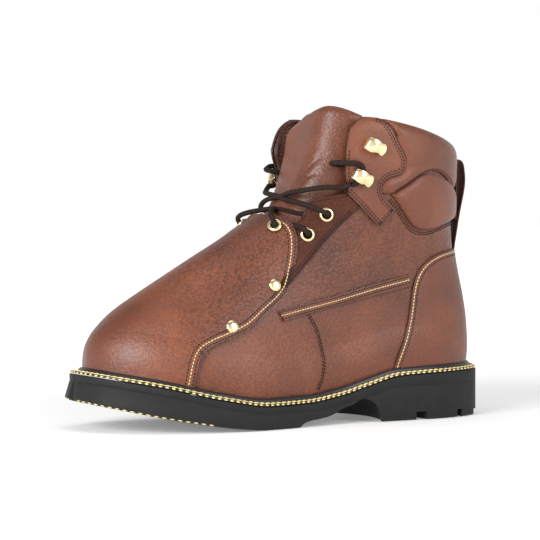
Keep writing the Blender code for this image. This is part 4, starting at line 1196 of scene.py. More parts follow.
half_turn = np.abs(cuff_turns)
start_station = np.interp(half_turn, *np.array([
    (float(place_of(1, s, float(seam_height(s)))[0]), s) for s in np.linspace(0.0185, CUFF_FRONT, 80)
]).T)
for row in range(CUFF_ROWS):
    share = row / CUFF_ROWS
    low = seam_height(start_station)
    high = collar_height(start_station) - 0.010
    level = level_of(start_station, low + (high - low) * share)
    points, normals = skin_points(cuff_turns, level)
    station, height = HEEL_BACK - points[:, 1], points[:, 2]
    from_seam = height - seam_height(station)
    gap = np.minimum(from_seam * 0.85, np.clip(from_panel(station, height), 0, 1))
    full = puff_share(gap, 0.0085)
    fold = np.exp(-(((height - 0.186 + 0.25 * (station - 0.05)) / 0.004) ** 2))
    fold = 0.0008 * fold * smooth(station, 0.03, 0.07)
    out = 0.0004 + 0.0032 * full - fold * full
    cuff_rows.append(points + normals * out[:, None])
top_points = last_points(cuff_turns, 1.0)
top_normals = last_normals(cuff_turns, np.full(CUFF_COLUMNS, 0.97)) * (1, 1, 0)
top_normals /= np.linalg.norm(top_normals, axis=-1, keepdims=True)
roll_line = soft_line(CUFF_ROLL)
ends = puff_share(CUFF_FRONT + 0.0005 - (HEEL_BACK - top_points[:, 1]), 0.009)
for share in np.linspace(0, 1, ROLL_ROWS):
    place = share * (len(roll_line) - 1)
    out, up = (np.interp(place, np.arange(len(roll_line)), roll_line[:, i]) for i in (0, 1))
    narrow = 0.25 + 0.75 * ends
    if out > ROLL_CLEAR:
        clear = np.clip(from_panel(HEEL_BACK - top_points[:, 1], top_points[:, 2] + up), 0, 1)
        narrow = narrow * 0.55 + 0.45 * puff_share(clear, 0.006)
        out = ROLL_CLEAR + (out - ROLL_CLEAR) * puff_share(clear, 0.006)
    moved = top_points + top_normals * (ROLL_CLEAR + (out - ROLL_CLEAR) * narrow)[:, None]
    moved[:, 2] += up - 0.0012 * (1 - ends)
    cuff_rows.append(moved)
cuff, _ = new_grid("dressed_cuff", np.array(cuff_rows))
set_attribute(cuff, "grain", np.full(len(cuff.data.vertices), 0.30))
thicken(cuff, CUFF_LEATHER, 1, material_offset_rim=1)
apply_modifiers(cuff)
outward_faces(cuff)
smooth_faces(cuff, 50)
dress(cuff, "brown_leather", leather_brown, cut_edge_and_shade, nodes=("collar_cuff",))

# %% [markdown]
# The tongue is a padded sheet that hangs inside the throat and stands above the collar. Its front is
# leather, and its back and edge are a grey-green felt that shows as a thin line along the top. A grid
# is laid behind the throat by half width and height, and its upper edge follows the cut line.
# %% Tongue
TONGUE_TOP = (
    (-0.0400, 0.1900), (-0.0300, 0.2010), (-0.0150, 0.2110), (0.0, 0.2175), (0.0150, 0.2212),
    (0.0290, 0.2220),
    (0.0390, 0.2190), (0.0460, 0.2110),
)
TONGUE_SIDE = ((0.1000, 0.0280), (0.1500, 0.0340), (0.1700, 0.0400), (0.2300, 0.0400))
TONGUE_DEPTH_ROWS = (
    (0.090, 0.0048), (0.120, 0.0052), (0.140, 0.0078), (0.155, 0.0092), (0.180, 0.0112), (0.195, 0.0122),
    (0.240, 0.0124),
)
TONGUE_LOW = 0.1000
TONGUE_FAR_HALF = 0.0315
TONGUE_THICKNESS = 0.0040
# x, height of each end of a fold, half width and depth
TONGUE_FOLDS = (
    ((0.014, 0.176), (0.031, 0.188), 0.0030, 0.0007),
    ((0.010, 0.168), (0.028, 0.176), 0.0028, 0.0006),
    ((-0.020, 0.172), (0.002, 0.166), 0.0034, 0.0006),
    ((-0.018, 0.184), (-0.006, 0.180), 0.0030, 0.0004),
)

tongue_top = soft_line(TONGUE_TOP)
tongue_depth = curve_through(TONGUE_DEPTH_ROWS)
tongue_half = curve_through(TONGUE_SIDE)
table_heights = np.arange(TONGUE_LOW - 0.002, 0.2240, 0.0010)
table_turns = np.linspace(1.25, 2 * math.pi - 1.25, 321)
front_table = []
for z in table_heights:
    level = np.full(len(table_turns), float(level_of(0.15, z)))
    for _ in range(4):
        points = last_points(table_turns, level)
        level = level_of(HEEL_BACK - points[:, 1], z)
    front_table.append((points[::-1, 0], table_turns[::-1], level[::-1]))


def front_turn_level(x, z):
    """Turn and level of the last's front where it has this x and height."""
    row = (z - table_heights[0]) / 0.0010
    first = int(np.clip(row, 0, len(front_table) - 2))
    found = []
    for xs, turns, levels in front_table[first : first + 2]:
        found.append((np.interp(x, xs, turns), np.interp(x, xs, levels)))
    share = row - first
    return tuple(a + (b - a) * share for a, b in zip(*found))


rows = []
for v in np.linspace(0, 1, 96):
    row = []
    for u in np.linspace(-1, 1, 76):
        x, z = u * 0.034, TONGUE_LOW + v * 0.11
        for _ in range(4):
            z = TONGUE_LOW + v * (float(np.interp(x, tongue_top[:, 0], tongue_top[:, 1])) - TONGUE_LOW)
            high = float(smooth(z, 0.150, 0.172))
            wing = 0.93 * float(shaft_half[1](z)) if u > 0 else TONGUE_FAR_HALF
            x = u * (float(tongue_half(z)) * (1 - high) + wing * high)
        row.append((x, z, *front_turn_level(x, z), u, v))
    rows.append(row)
tongue_map = np.array(rows)
x, z, turn, level, across, up = (tongue_map[..., i] for i in range(6))
points, normals = last_points(turn, level), last_normals(turn, level)
fold = np.zeros(x.shape)
for start, end, width, depth in TONGUE_FOLDS:
    away, _ = off_segment(x, z, start, end)
    fold += depth * np.exp(-((away / width) ** 2))
top_edge = np.interp(x, tongue_top[:, 0], tongue_top[:, 1]) - z
side_edge = (1 - np.abs(across)) * tongue_half(z)
rim = 0.0016 * (1 - puff_share(np.minimum(top_edge, side_edge), 0.0035))
puff = 0.0006 * np.sin(np.pi * up) * np.cos(across * np.pi / 2)
tongue, _ = new_grid("dressed_tongue", points + normals * (puff - fold - rim - tongue_depth(z))[..., None])
shape = bmesh.new()
shape.from_mesh(tongue.data)
bmesh.ops.reverse_faces(shape, faces=shape.faces)
shape.to_mesh(tongue.data)
shape.free()
set_attribute(tongue, "grain", np.full(len(tongue.data.vertices), 0.45))
thicken(tongue, TONGUE_THICKNESS - 0.0006, -1, material_offset=1, material_offset_rim=1)
apply_modifiers(tongue)
smooth_faces(tongue, 60)
dress(tongue, "brown_leather", leather_brown, felt_cloth, nodes=("tongue",))

# %% [markdown]
# The pull loop is one strap folded over and sewn into the back seam. Its section is swept along the
# fold. The same helper makes closed tubes out of any rows of points.
# %% Pull loop
LOOP_LINE = (
    (0.0168, 0.1180), (0.0161, 0.1235), (0.0151, 0.1290), (0.0128, 0.1420), (0.0097, 0.1560),
    (0.0073, 0.1700), (0.0080, 0.1795),
    (0.0108, 0.1850), (0.0132, 0.1853), (0.0140, 0.1815), (0.0142, 0.1700), (0.0143, 0.1510),
    (0.0150, 0.1420),
)
STRAP_HALF = 0.0090
STRAP_HALF_THICKNESS = 0.00085


def tube_grid(name, rows, caps=True):
    """A closed tube from rows of points; each row's last point repeats its first."""
    piece, _ = new_grid(name, np.asarray(rows))
    only(piece)
    bpy.ops.object.mode_set(mode="EDIT")
    bpy.ops.mesh.select_all(action="SELECT")
    bpy.ops.mesh.remove_doubles(threshold=1e-6)
    if caps:
        bpy.ops.mesh.select_all(action="DESELECT")
        bpy.ops.mesh.select_mode(type="EDGE")
        bpy.ops.mesh.select_non_manifold()
        bpy.ops.mesh.fill_holes(sides=0)
        bpy.ops.mesh.select_mode(type="VERT")
    bpy.ops.mesh.select_all(action="SELECT")
    bpy.ops.mesh.normals_make_consistent(inside=False)
    bpy.ops.object.mode_set(mode="OBJECT")
    return piece


def oval(count, half_width, half_height, squareness):
    """A rounded section, from a circle at 1 towards a rectangle as squareness falls."""
    angles = np.linspace(0, 2 * math.pi, count + 1)
    wide = np.sign(np.cos(angles)) * np.abs(np.cos(angles)) ** squareness * half_width
    high = np.sign(np.sin(angles)) * np.abs(np.sin(angles)) ** squareness * half_height
    return wide, high


loop_line = soft_line(LOOP_LINE, 0.0012)
along = np.gradient(loop_line, axis=0)
along /= np.linalg.norm(along, axis=1, keepdims=True)
wide, high = oval(28, STRAP_HALF, STRAP_HALF_THICKNESS, 0.35)
rows = []
for (station, height), (ds, dh) in zip(loop_line, along):
    rows.append([(w, HEEL_BACK - station + dh * t, height + ds * t) for w, t in zip(wide, high)])
loop = tube_grid("dressed_pull_loop", rows)
set_attribute(loop, "grain", np.full(len(loop.data.vertices), 0.3))
smooth_faces(loop, 50)
dress(loop, "brown_leather", leather_dark, nodes=("pull_loop",))

# %% Insole
INSOLE_GAP = 0.0034
INSOLE_TOP = 0.0043
INSOLE_THICKNESS = 0.0036

turns = np.linspace(0.10, math.pi - 0.06, 110)
edges = {side: side_points(side, turns, np.full(110, 0.02)) for side in (1, -1)}
shares = np.linspace(0, 1, 25)
stations = np.linspace(LAST_BACK + 0.006, LAST_FRONT - 0.006, 120)
rows = []
for station in stations:
    limits = []
    for side, edge in edges.items():
        limits.append(float(np.interp(station, HEEL_BACK - edge[:, 1], edge[:, 0])) - side * INSOLE_GAP)
    cup = 0.0012 * (np.abs(2 * shares - 1) ** 4)
    low = float(midsole_top(station)) + INSOLE_TOP
    across = limits[0] + (limits[1] - limits[0]) * shares
    rows.append(np.stack([across, np.full(25, HEEL_BACK - station), low + cup], -1))
insole, _ = new_grid("dressed_insole", np.array(rows))
thicken(insole, INSOLE_THICKNESS, 1)
apply_modifiers(insole)
outward_faces(insole)
smooth_faces(insole)
dress(insole, "lining", lining_cloth, nodes=("insole",))

# %% [markdown]
# The sole is moulded rubber: a wall that leans out a little at the toe, a bevelled lower edge under the
# toe, and a tread cut by channels. It is lofted through sections across the boot, and one Boolean with
# all the cutters takes out the arch, the channels and the bevel behind the heel.
# %% Outsole and midsole
TREAD_HEIGHTS = (
    (0.0, 0.0), (0.195, 0.0), (0.220, 0.0020), (0.245, 0.0055), (0.270, 0.0102), (0.295, 0.0160),
    (0.315, 0.0208),
)
ARCH_OUTLINE = (
    (0.0960, -0.0050), (0.0975, 0.0050), (0.1000, 0.0110), (0.1050, 0.0152), (0.1110, 0.0170),
    (0.1210, 0.0130),
    (0.1270, 0.0115), (0.1365, 0.0075), (0.1560, 0.0042), (0.1670, 0.0000), (0.1690, -0.0050),
)
BREAST_HALF = 0.040
BREAST_DEPTH = 0.012
FOREPART_GROOVES = (0.176, 0.194, 0.212, 0.230, 0.248, 0.266, 0.284)
# station of the middle, width, height above the tread
HEEL_GROOVES = ((0.0270, 0.0050, 0.0055), (0.0625, 0.0090, 0.0055), (0.00225, 0.0125, 0.0040))
GROOVE_WIDTH = 0.0050
LUG_DEPTH = 0.0045
EDGE_MARGIN = 0.011
TOE_FLARE = 0.0030
TOE_BEVEL = 0.0028
SOLE_SECTIONS = 220
MIDDLE_POINTS = 9

midsole_bottom = curve_through(SOLE_HEIGHTS, 2)
tread_bottom = curve_through(TREAD_HEIGHTS)
SOLE_CENTRE = SOLE_LENGTH / 2 - HEEL_BACK


def sole_section(share, low, high, flare, bevel, edge):
    """One closed section of a sole layer. bevel is the lower corner's inset and edge the small rounding."""
    turn = share * math.pi
    station = SOLE_BACK + SOLE_LENGTH * (1 - math.cos(turn)) / 2
    lateral, medial = float(sole_half[1](turn)), float(sole_half[-1](turn))
    middle, half = (lateral - medial) / 2, (lateral + medial) / 2
    spread, forward = flare * float(smooth(station, 0.15, 0.31)), flare * float(smooth(station, 0.24, 0.31))
    bottom, top = float(low(station)), float(high(station))
    slope = bevel * float(smooth(station, 0.19, 0.25))
    rise = 0.62 * slope
    profile = [
        (slope + edge, 0.0), (slope + 0.2 * edge, 0.2 * edge), (0.3 * edge, rise + 0.3 * edge),
        (0.0, rise + edge),
        (0.0, 0.5 * (top - bottom)), (0.0, top - bottom - edge), (0.3 * edge, top - bottom - 0.3 * edge),
        (edge, top - bottom),
    ]
    sides = []
    for sign in (1, -1):
        side = []
        for inset, height in profile:
            lean = 1 - height / (top - bottom)
            ease = 1 - 2 * inset / SOLE_LENGTH
            y = (HEEL_BACK - station - forward * lean + SOLE_CENTRE) * ease - SOLE_CENTRE
            side.append((middle + sign * max(half + spread * lean - inset, 0.0001), y, bottom + height))
        sides.append(side)
    right, left = sides
    across = np.linspace(0, 1, MIDDLE_POINTS + 2)[1:-1]
    over = [tuple(np.array(right[-1]) * (1 - t) + np.array(left[-1]) * t) for t in across]
    under = [tuple(np.array(left[0]) * (1 - t) + np.array(right[0]) * t) for t in across]
    return [*right, *over, *left[::-1], *under, right[0]]


def sole_layer(name, low, high, flare=0.0, bevel=0.0, edge=0.0007):
    shares = np.linspace(0.006, 0.994, SOLE_SECTIONS)
    return tube_grid(name, [sole_section(share, low, high, flare, bevel, edge) for share in shares])


def channel(station, width, half, height):
    """A box-shaped cutter across the tread that follows its lift."""
    turn = turn_of((station - SOLE_BACK) / SOLE_LENGTH)
    middle = float(sole_half[1](turn) - sole_half[-1](turn)) / 2
    bpy.ops.object.select_all(action="DESELECT")
    bpy.ops.mesh.primitive_cube_add(size=1)
    cutter = bpy.context.object
    for vertex in cutter.data.vertices:
        at = station + (width / 2 if vertex.co.y < 0 else -width / 2)
        low = float(tread_bottom(at))
        lift = height if vertex.co.z > 0 else -0.02
        vertex.co = (middle + 2 * vertex.co.x * half, HEEL_BACK - at, low + lift)
    return cutter


def arch_cutter():
    """The hollow between heel and forepart, whose rear face curves in."""
    rows = []
    for x in np.linspace(-0.060, 0.060, 41):
        curve = BREAST_DEPTH * max(1 - (x / BREAST_HALF) ** 2, -0.15)
        row = []
        for station, height in soft_line(ARCH_OUTLINE, 0.0025):
            row.append((x, HEEL_BACK - station + curve * float(1 - smooth(station, 0.100, 0.112)), height))
        rows.append([*row, row[0]])
    return tube_grid("arch_cutter", rows)


outsole = sole_layer("dressed_outsole", tread_bottom, midsole_bottom, TOE_FLARE, TOE_BEVEL)
cutters = [arch_cutter()]
for station in FOREPART_GROOVES:
    turn = turn_of((station - SOLE_BACK) / SOLE_LENGTH)
    half = float(sole_half[1](turn) + sole_half[-1](turn)) / 2 - EDGE_MARGIN
    cutters.append(channel(station, GROOVE_WIDTH, half, LUG_DEPTH))
for station, width, height in HEEL_GROOVES:
    cutters.append(channel(station, width, 0.060, height))
bpy.ops.object.select_all(action="DESELECT")
for cutter in cutters:
    cutter.select_set(True)
bpy.context.view_layer.objects.active = cutters[0]
bpy.ops.object.join()
cut = outsole.modifiers.new("tread", "BOOLEAN")
cut.operation = "DIFFERENCE"
cut.solver = "EXACT"
cut.object = cutters[0]
apply_modifiers(outsole)
bpy.data.objects.remove(cutters[0])
smooth_faces(outsole, 32)
dress(outsole, "black_rubber", rubber, nodes=("outsole",))

midsole = sole_layer("dressed_midsole", lambda s: midsole_bottom(s) - GAP, midsole_top, edge=0.0006)
smooth_faces(midsole, 40)
dress(midsole, "black_rubber", rubber, nodes=("midsole",))

# %% Welt
WELT_PROFILE = (
    (0.00, 0.0000), (0.00, 0.0010), (0.03, 0.0015), (0.08, 0.0017), (0.20, 0.0015), (0.34, 0.0016),
    (0.44, 0.0020),
    (0.49, 0.0030), (0.54, 0.0039), (0.62, 0.0047), (0.72, 0.0050), (0.82, 0.0049), (0.92, 0.0044),
    (1.00, 0.0036),
    (1.00, 0.0000),
)
WELT_COLUMNS = 420


def welt_loops(columns):
    """The welt's outer edge on the midsole and its inner edge against the leather."""
    turns = np.linspace(0, 2 * math.pi, columns + 1)
    inner = last_points(turns, np.zeros(columns + 1))
    flat = last_normals(turns, np.full(columns + 1, 0.02)) * (1, 1, 0)
    flat /= np.linalg.norm(flat, axis=-1, keepdims=True)
    inner = inner + flat * 2 * GAP
    station = SOLE_BACK + SOLE_LENGTH * (1 - np.cos(turns)) / 2
    half = np.where(turns <= math.pi, sole_half[1](turns), -sole_half[-1](2 * math.pi - turns))
    outer = np.stack([half, HEEL_BACK - station, midsole_top(station)], -1)
    toward = (inner - outer) * (1, 1, 0)
    outer = outer + toward / np.linalg.norm(toward, axis=-1, keepdims=True) * 0.0008
    return outer, inner


outer, inner = welt_loops(WELT_COLUMNS)
rings = []
for share, height in [*WELT_PROFILE, WELT_PROFILE[0]]:
    ring = outer + (inner - outer) * share
    ring[:, 2] = midsole_top(HEEL_BACK - ring[:, 1]) + SEAT + height
    rings.append(ring)
welt = tube_grid("dressed_welt", rings, caps=False)
smooth_faces(welt, 50)
dress(welt, "black_rubber", bead_rubber, nodes=("welt",))

# %% [markdown]
# Eyelets and rivets are turned parts: a profile spun round the axis that stands out of the leather.
# The hooks are strips of brass bent back over the lace, wide at the blade and pinched at the bend.
# %% Eyelets and rivets
GUARD_SEAT = 2 * GAP + GUARD_THICKNESS + 0.0004
OVERLAY_SEAT = 2 * GAP + OVERLAY_THICKNESS + 0.0005
GUARD_EYELET_SEAT = GUARD_SEAT + 0.0013
EYELET_TOP = OVERLAY_SEAT + 0.0016
# radius and height over the seat, in millimetres
EYELET_PROFILE = (
    (2.7, -3.4), (2.6, 0.1), (2.7, 0.7), (3.0, 1.15), (3.5, 1.35), (4.1, 1.3), (4.7, 1.0), (5.1, 0.5),
    (5.2, 0.0),
    (5.1, -0.5), (3.3, -0.5), (3.2, -3.4), (2.7, -3.4),
)
RIVET_PROFILE = (
    (0.02, 1.35), (1.2, 1.33), (2.3, 1.2), (3.2, 0.95), (3.9, 0.6), (4.35, 0.15), (4.5, -0.3),
    (4.4, -0.8), (0.02, -0.8),
    (0.02, 1.35),
)


def turned(profile, place, out, steps=40):
    """Rows of a turned shape on its seat, its first row repeated at the end."""
    frame_of_seat = Matrix.Translation(place) @ out.to_track_quat("Z", "Y").to_matrix().to_4x4()
    rows = []
    for angle in np.linspace(0, 2 * math.pi, steps + 1):
        row = []
        for r, h in profile:
            spun = Vector((r * math.cos(angle) / 1000, r * math.sin(angle) / 1000, h / 1000))
            row.append(tuple(frame_of_seat @ spun))
        rows.append(row)
    return rows


for side in (1, -1):
    word = WORDS[side]
    seats = []
    for i, place in enumerate(EYELETS):
        seats.append((f"eyelet_{word}_{i + 1}", place, OVERLAY_SEAT, EYELET_PROFILE))
    seats.append((f"guard_eyelet_{word}", GUARD_EYELET, GUARD_EYELET_SEAT - 0.0006, EYELET_PROFILE))
    for i, place in enumerate(RIVETS):
        seats.append((f"rivet_{word}_{i + 1}", place[:2], place[2] + 0.0002, RIVET_PROFILE))
    for name, place, seat, profile in seats:
        point, out = skin(side, *place)
        ring = tube_grid("dressed_" + name, turned(profile, point + out * seat, out), caps=False)
        smooth_faces(ring, 60)
        dress(ring, "brass", brass, nodes=(name,))

# %% Hooks
HOOKS = {1: ((0.1185, 0.1735), (0.1095, 0.1950)), -1: ((0.1350, 0.1725), (0.1260, 0.1940))}
# back from the throat, out of the panel, half width, in millimetres
HOOK_STRIP = (
    (5.2, 0.75, 1.6), (4.9, 0.75, 2.8), (3.8, 0.75, 3.9), (1.6, 0.75, 4.3), (-0.8, 0.75, 4.2),
    (-2.8, 0.8, 3.8),
    (-3.9, 1.2, 3.5), (-4.5, 2.2, 3.4), (-4.6, 3.6, 3.4), (-4.3, 5.2, 3.4), (-3.4, 6.6, 3.6),
    (-1.8, 7.3, 4.0),
    (0.6, 7.55, 4.5), (2.8, 7.45, 4.4), (4.6, 7.0, 3.7), (6.0, 6.5, 3.6), (7.6, 5.9, 4.1), (9.0, 5.3, 4.1),
    (9.9, 5.0, 3.4), (10.5, 4.8, 2.2), (10.7, 4.75, 0.8),
)
HOOK_THICKNESS = 0.0009


def hook_frame(side, station, height):
    """Seat of a hook, with the directions out from the leather, back from the throat and up across."""
    place, out = skin(side, station, height)
    across = out.cross(Vector((0, -0.90, 0.42))).normalized()
    if across.z < 0:
        across = -across
    behind = across.cross(out).normalized()
    if behind.y < 0:
        behind = -behind
    return place + out * OVERLAY_SEAT, out, behind, across


strip_rows = np.array(HOOK_STRIP) / 1000
steps = np.concatenate([[0], np.cumsum(np.linalg.norm(np.diff(strip_rows[:, :2], axis=0), axis=1))])
fine = np.linspace(0, steps[-1], 70)
strip_rows = np.stack([curve_through(list(zip(steps, strip_rows[:, i])))(fine) for i in range(3)], -1)
for side in (1, -1):
    for i, place in enumerate(HOOKS[side]):
        seat, out, behind, across = hook_frame(side, *place)
        rows = []
        for back_off, away, half in strip_rows:
            row = []
            for u in np.linspace(-1, 1, 17):
                blade = math.exp(-(((back_off - 0.0020) / 0.0030) ** 2 + (u * half / 0.0026) ** 2))
                blade = blade if away > 0.006 else 0
                lift = away + 0.0007 * blade - 0.0005 * u**4
                row.append(tuple(seat + across * u * half + behind * back_off + out * lift))
            rows.append(row)
        name = f"hook_{WORDS[side]}_{i + 1}"
        hook, _ = new_grid("dressed_" + name, np.array(rows))
        thicken(hook, HOOK_THICKNESS, 0)
        soft = hook.modifiers.new("soft_edge", "BEVEL")
        soft.width = 0.0003
        soft.segments = 2
        soft.limit_method = "ANGLE"
        apply_modifiers(hook)
        outward_faces(hook)
        smooth_faces(hook, 60)
        dress(hook, "brass", brass, nodes=(name,))

# %% [markdown]
# The lace is a round braid. Each length follows a smooth curve through listed points and is swept
# as a tube whose radius rises and falls in two crossing spirals, which is what a braid's strands do. It
# starts inside the boot, so that it really comes up through the eyelets.
# %% Lace
LACE_DIAMETER = 0.0038
LACE_STEP = 0.00045
LACE_AROUND = 20
BRAID_STRANDS = 5
BRAID_PITCH = 0.0068
LOW_ROUTE = (
    (0.1558, 0.1350, 0.0058), (0.1585, 0.1370, 0.0034), (0.1612, 0.1388, 0.0002),
    (0.1645, 0.1402, -0.0040),
)
MIDDLE_START = ((0.1718, 0.1370, 0.0094),)
MIDDLE_CROSSING = ((0.0195, 0.1744, 0.1468), (0.0112, 0.1686, 0.1488), (0.0, 0.1624, 0.1502))
MIDDLE_END = ((0.1600, 0.1495, -0.0054), (0.1550, 0.1480, -0.0053), (0.1505, 0.1475, -0.0053))
UPPER_START = {
    1: ((0.1445, 0.1490, 0.0078), (0.1515, 0.1525, 0.0070)),
    -1: ((0.1440, 0.1478, 0.0072), (0.1520, 0.1500, 0.0050)),
}
UPPER_CROSSING = ((0.0150, 0.1590, 0.1565), (0.0, 0.1570, 0.1587), (-0.0150, 0.1585, 0.1610))
UPPER_END = {
    1: ((0.1480, 0.1635, 0.0070), (0.1360, 0.1655, 0.0054), (0.1260, 0.1668, 0.0054)),
    -1: ((0.1490, 0.1625, 0.0030), (0.1440, 0.1645, 0.0060)),
}
END_ROUTES = {
    1: (
        (0.1240, 0.1822, 0.0052), (0.1295, 0.1822, 0.0046), (0.1352, 0.1819, 0.0002),
        (0.1305, 0.1815, -0.0058), (0.1230, 0.1810, -0.0060),
    ),
    -1: (
        (0.1430, 0.1790, 0.0056), (0.1485, 0.1775, 0.0012), (0.1450, 0.1765, -0.0052),
        (0.1400, 0.1760, -0.0062),
    ),
}
# up across a hook, back from the throat and out of the panel
HOOK_TURN = (
    (-0.0074, -0.0034, 0.0036), (-0.0074, -0.0022, 0.0036), (-0.0056, 0.0006, 0.0036), (0.0, 0.0012, 0.0036),
    (0.0056, 0.0006, 0.0036), (0.0074, -0.0030, 0.0036),
)
INSIDE_DEPTH = -0.0050


def over(side, station, height, lift):
    """A point held off the upper's outer face."""
    place, out = skin(side, station, height)
    return place + out * lift


def at(x, station, height):
    return Vector((x, HEEL_BACK - station, height))


def by_hook(side, up, behind, away):
    seat, out, backward, across = hook_frame(side, *HOOKS[side][0])
    return seat + across * up + backward * behind + out * away


def lace_path(route):
    points = np.array([tuple(p) for p in route])
    along = np.concatenate([[0], np.cumsum(np.linalg.norm(np.diff(points, axis=0), axis=1))])
    at_steps = np.linspace(0, along[-1], int(along[-1] / LACE_STEP))
    return np.stack([spline_through(along, points[:, i])(at_steps) for i in range(3)], -1)


def braid(name, path):
    """A tube along a path, its section carried along without twist."""
    tangents = np.gradient(path, axis=0)
    tangents /= np.linalg.norm(tangents, axis=1, keepdims=True)
    up = Vector((0.1, 0.2, 1.0))
    run = np.concatenate([[0], np.cumsum(np.linalg.norm(np.diff(path, axis=0), axis=1))])
    angles = np.linspace(0, 2 * math.pi, LACE_AROUND + 1)
    rows = []
    for point, tangent, length in zip(path, tangents, run):
        t = Vector(tangent)
        up = (up - t * up.dot(t)).normalized()
        other = t.cross(up)
        turn = 2 * math.pi * length / BRAID_PITCH
        strands = np.cos(BRAID_STRANDS * angles + turn * 2) * np.cos(BRAID_STRANDS * angles - turn * 2)
        radius = LACE_DIAMETER / 2 * (0.945 + 0.055 * strands)
        circle = np.outer(np.cos(angles) * radius, up) + np.outer(np.sin(angles) * radius, other)
        rows.append(np.array(point) + circle)
    piece = tube_grid(name, rows)
    smooth_faces(piece, 60)
    return piece


def joined_pieces(name, pieces):
    bpy.ops.object.select_all(action="DESELECT")
    for piece in pieces:
        piece.select_set(True)
    bpy.context.view_layer.objects.active = pieces[0]
    bpy.ops.object.join()
    pieces[0].name = pieces[0].data.name = name
    return pieces[0]


middle, upper_lace = [], []
for side, word in WORDS.items():
    low_eyelet, high_eyelet = EYELETS
    lifts = (INSIDE_DEPTH, EYELET_TOP, EYELET_TOP + 0.0022)
    route = [over(side, *low_eyelet, lift) for lift in lifts]
    route += [over(side, *row) for row in LOW_ROUTE]
    piece = braid(f"dressed_lace_low_{word}", lace_path(route))
    dress(piece, "brown_lace", lace_cloth, nodes=(f"lace_low_{word}",))

    lifts = (INSIDE_DEPTH + 0.003, GUARD_EYELET_SEAT + 0.0026)
    route = [over(side, *GUARD_EYELET, lift) for lift in lifts]
    route += [over(side, *row) for row in MIDDLE_START]
    route += [at(side * x, station, height) for x, station, height in MIDDLE_CROSSING]
    route += [over(-side, *row) for row in MIDDLE_END]
    middle.append(braid(f"middle_{word}", lace_path(route)))

    lifts = (INSIDE_DEPTH, EYELET_TOP, EYELET_TOP + 0.0034)
    route = [over(side, *high_eyelet, lift) for lift in lifts]
    route += [over(side, *row) for row in UPPER_START[side]]
    route += [at(side * x, station, height) for x, station, height in UPPER_CROSSING]
    route += [over(-side, *row) for row in UPPER_END[-side]]
    route.append(by_hook(-side, *HOOK_TURN[0]))
    upper_lace.append(braid(f"upper_{word}", lace_path(route)))

    route = [by_hook(side, *row) for row in HOOK_TURN[1:]]
    route += [over(side, *row) for row in END_ROUTES[side]]
    path = lace_path(route)
    piece = braid(f"dressed_lace_end_{word}", path)
    dress(piece, "brown_lace", lace_cloth, nodes=(f"lace_end_{word}",))
dress(joined_pieces("dressed_lace_middle", middle), "brown_lace", lace_cloth, nodes=("lace_middle",))
dress(joined_pieces("dressed_lace_upper", upper_lace), "brown_lace", lace_cloth, nodes=("lace_upper",))

# %% [markdown]
# Every stitch is a short round-ended rod of thread laid on the leather. One rod is modelled, and all
# the stitches of one colour are copies of it in one mesh, placed along lines at a set distance from
# the cut edges.
# %% Stitches
bpy.ops.object.select_all(action="DESELECT")
bpy.ops.mesh.primitive_uv_sphere_add(segments=8, ring_count=6, radius=1)
rod = bpy.context.object
rod_points = np.array([v.co[:] for v in rod.data.vertices])
rod_faces = [tuple(face.vertices) for face in rod.data.polygons]
bpy.data.objects.remove(rod)


def offset_line(side, line, offset, height=0.0):
    """A line of places moved sideways over the skin; plus is to the left of its run."""
    turn, _, points, normals = line_places(side, np.asarray(line))
    lean = lean_at(side, turn if side > 0 else 2 * math.pi - turn, points[:, 2])
    tangents = np.gradient(points, axis=0)
    tangents /= np.maximum(np.linalg.norm(tangents, axis=1, keepdims=True), 1e-9)
    points = points + np.cross(normals, tangents) * offset
    moved = np.stack([HEEL_BACK - points[:, 1] - lean, points[:, 2]], -1)
    _, _, points, normals = line_places(side, moved)
    return points + normals * height, normals


def stitches_along(points, normals, pitch, share, radius, slant=0.0):
    """Rods along a line: a share of each pitch is thread, turned a little by the slant."""
    run = np.concatenate([[0], np.cumsum(np.linalg.norm(np.diff(points, axis=0), axis=1))])
    made = []
    count = int(run[-1] / pitch)
    for i in range(count):
        middle_at = (i + 0.5) * run[-1] / count
        ends = []
        for s in (-1, 1):
            place = middle_at + s * pitch * share / 2
            ends.append(np.array([np.interp(place, run, points[:, k]) for k in range(3)]))
        normal = np.array([np.interp(middle_at, run, normals[:, k]) for k in range(3)])
        tangent = ends[1] - ends[0]
        length = np.linalg.norm(tangent)
        if length < 1e-5:
            continue
        tangent /= length
        side_way = np.cross(normal, tangent)
        side_way /= np.linalg.norm(side_way)
        straight, sideways = math.cos(slant), math.sin(slant)
        turned_tangent = tangent * straight + side_way * sideways
        side_way = side_way * straight - tangent * sideways
        tangent = turned_tangent
        out = np.cross(tangent, side_way)
        centre = (ends[0] + ends[1]) / 2
        made.append(centre + rod_points[:, 2:3] * tangent * length / 2
                    + rod_points[:, 0:1] * side_way * radius + rod_points[:, 1:2] * out * radius)
    return made


def thread_mesh(name, rods, slot, material):
    points = np.concatenate(rods)
    count = len(rod_points)
    faces = [tuple(i * count + v for v in face) for i in range(len(rods)) for face in rod_faces]
    mesh = bpy.data.meshes.new(name)
    mesh.from_pydata([tuple(p) for p in points], [], faces)
    mesh.update()
    piece = bpy.data.objects.new(name, mesh)
    bpy.context.scene.collection.objects.link(piece)
    outward_faces(piece)
    smooth_faces(piece, 80)
    dress(piece, slot, material)
    print(name, len(rods), "stitches")


def part_of(line, test):
    return np.array([p for p in line if test(*p)])


THREAD = 0.00041
ON_GUARD = GAP + GUARD_THICKNESS - 0.0002
ON_OVERLAY = GAP + OVERLAY_THICKNESS - 0.0001
ON_PANEL = GAP + OVERLAY_THICKNESS + 0.0012 - 0.0001
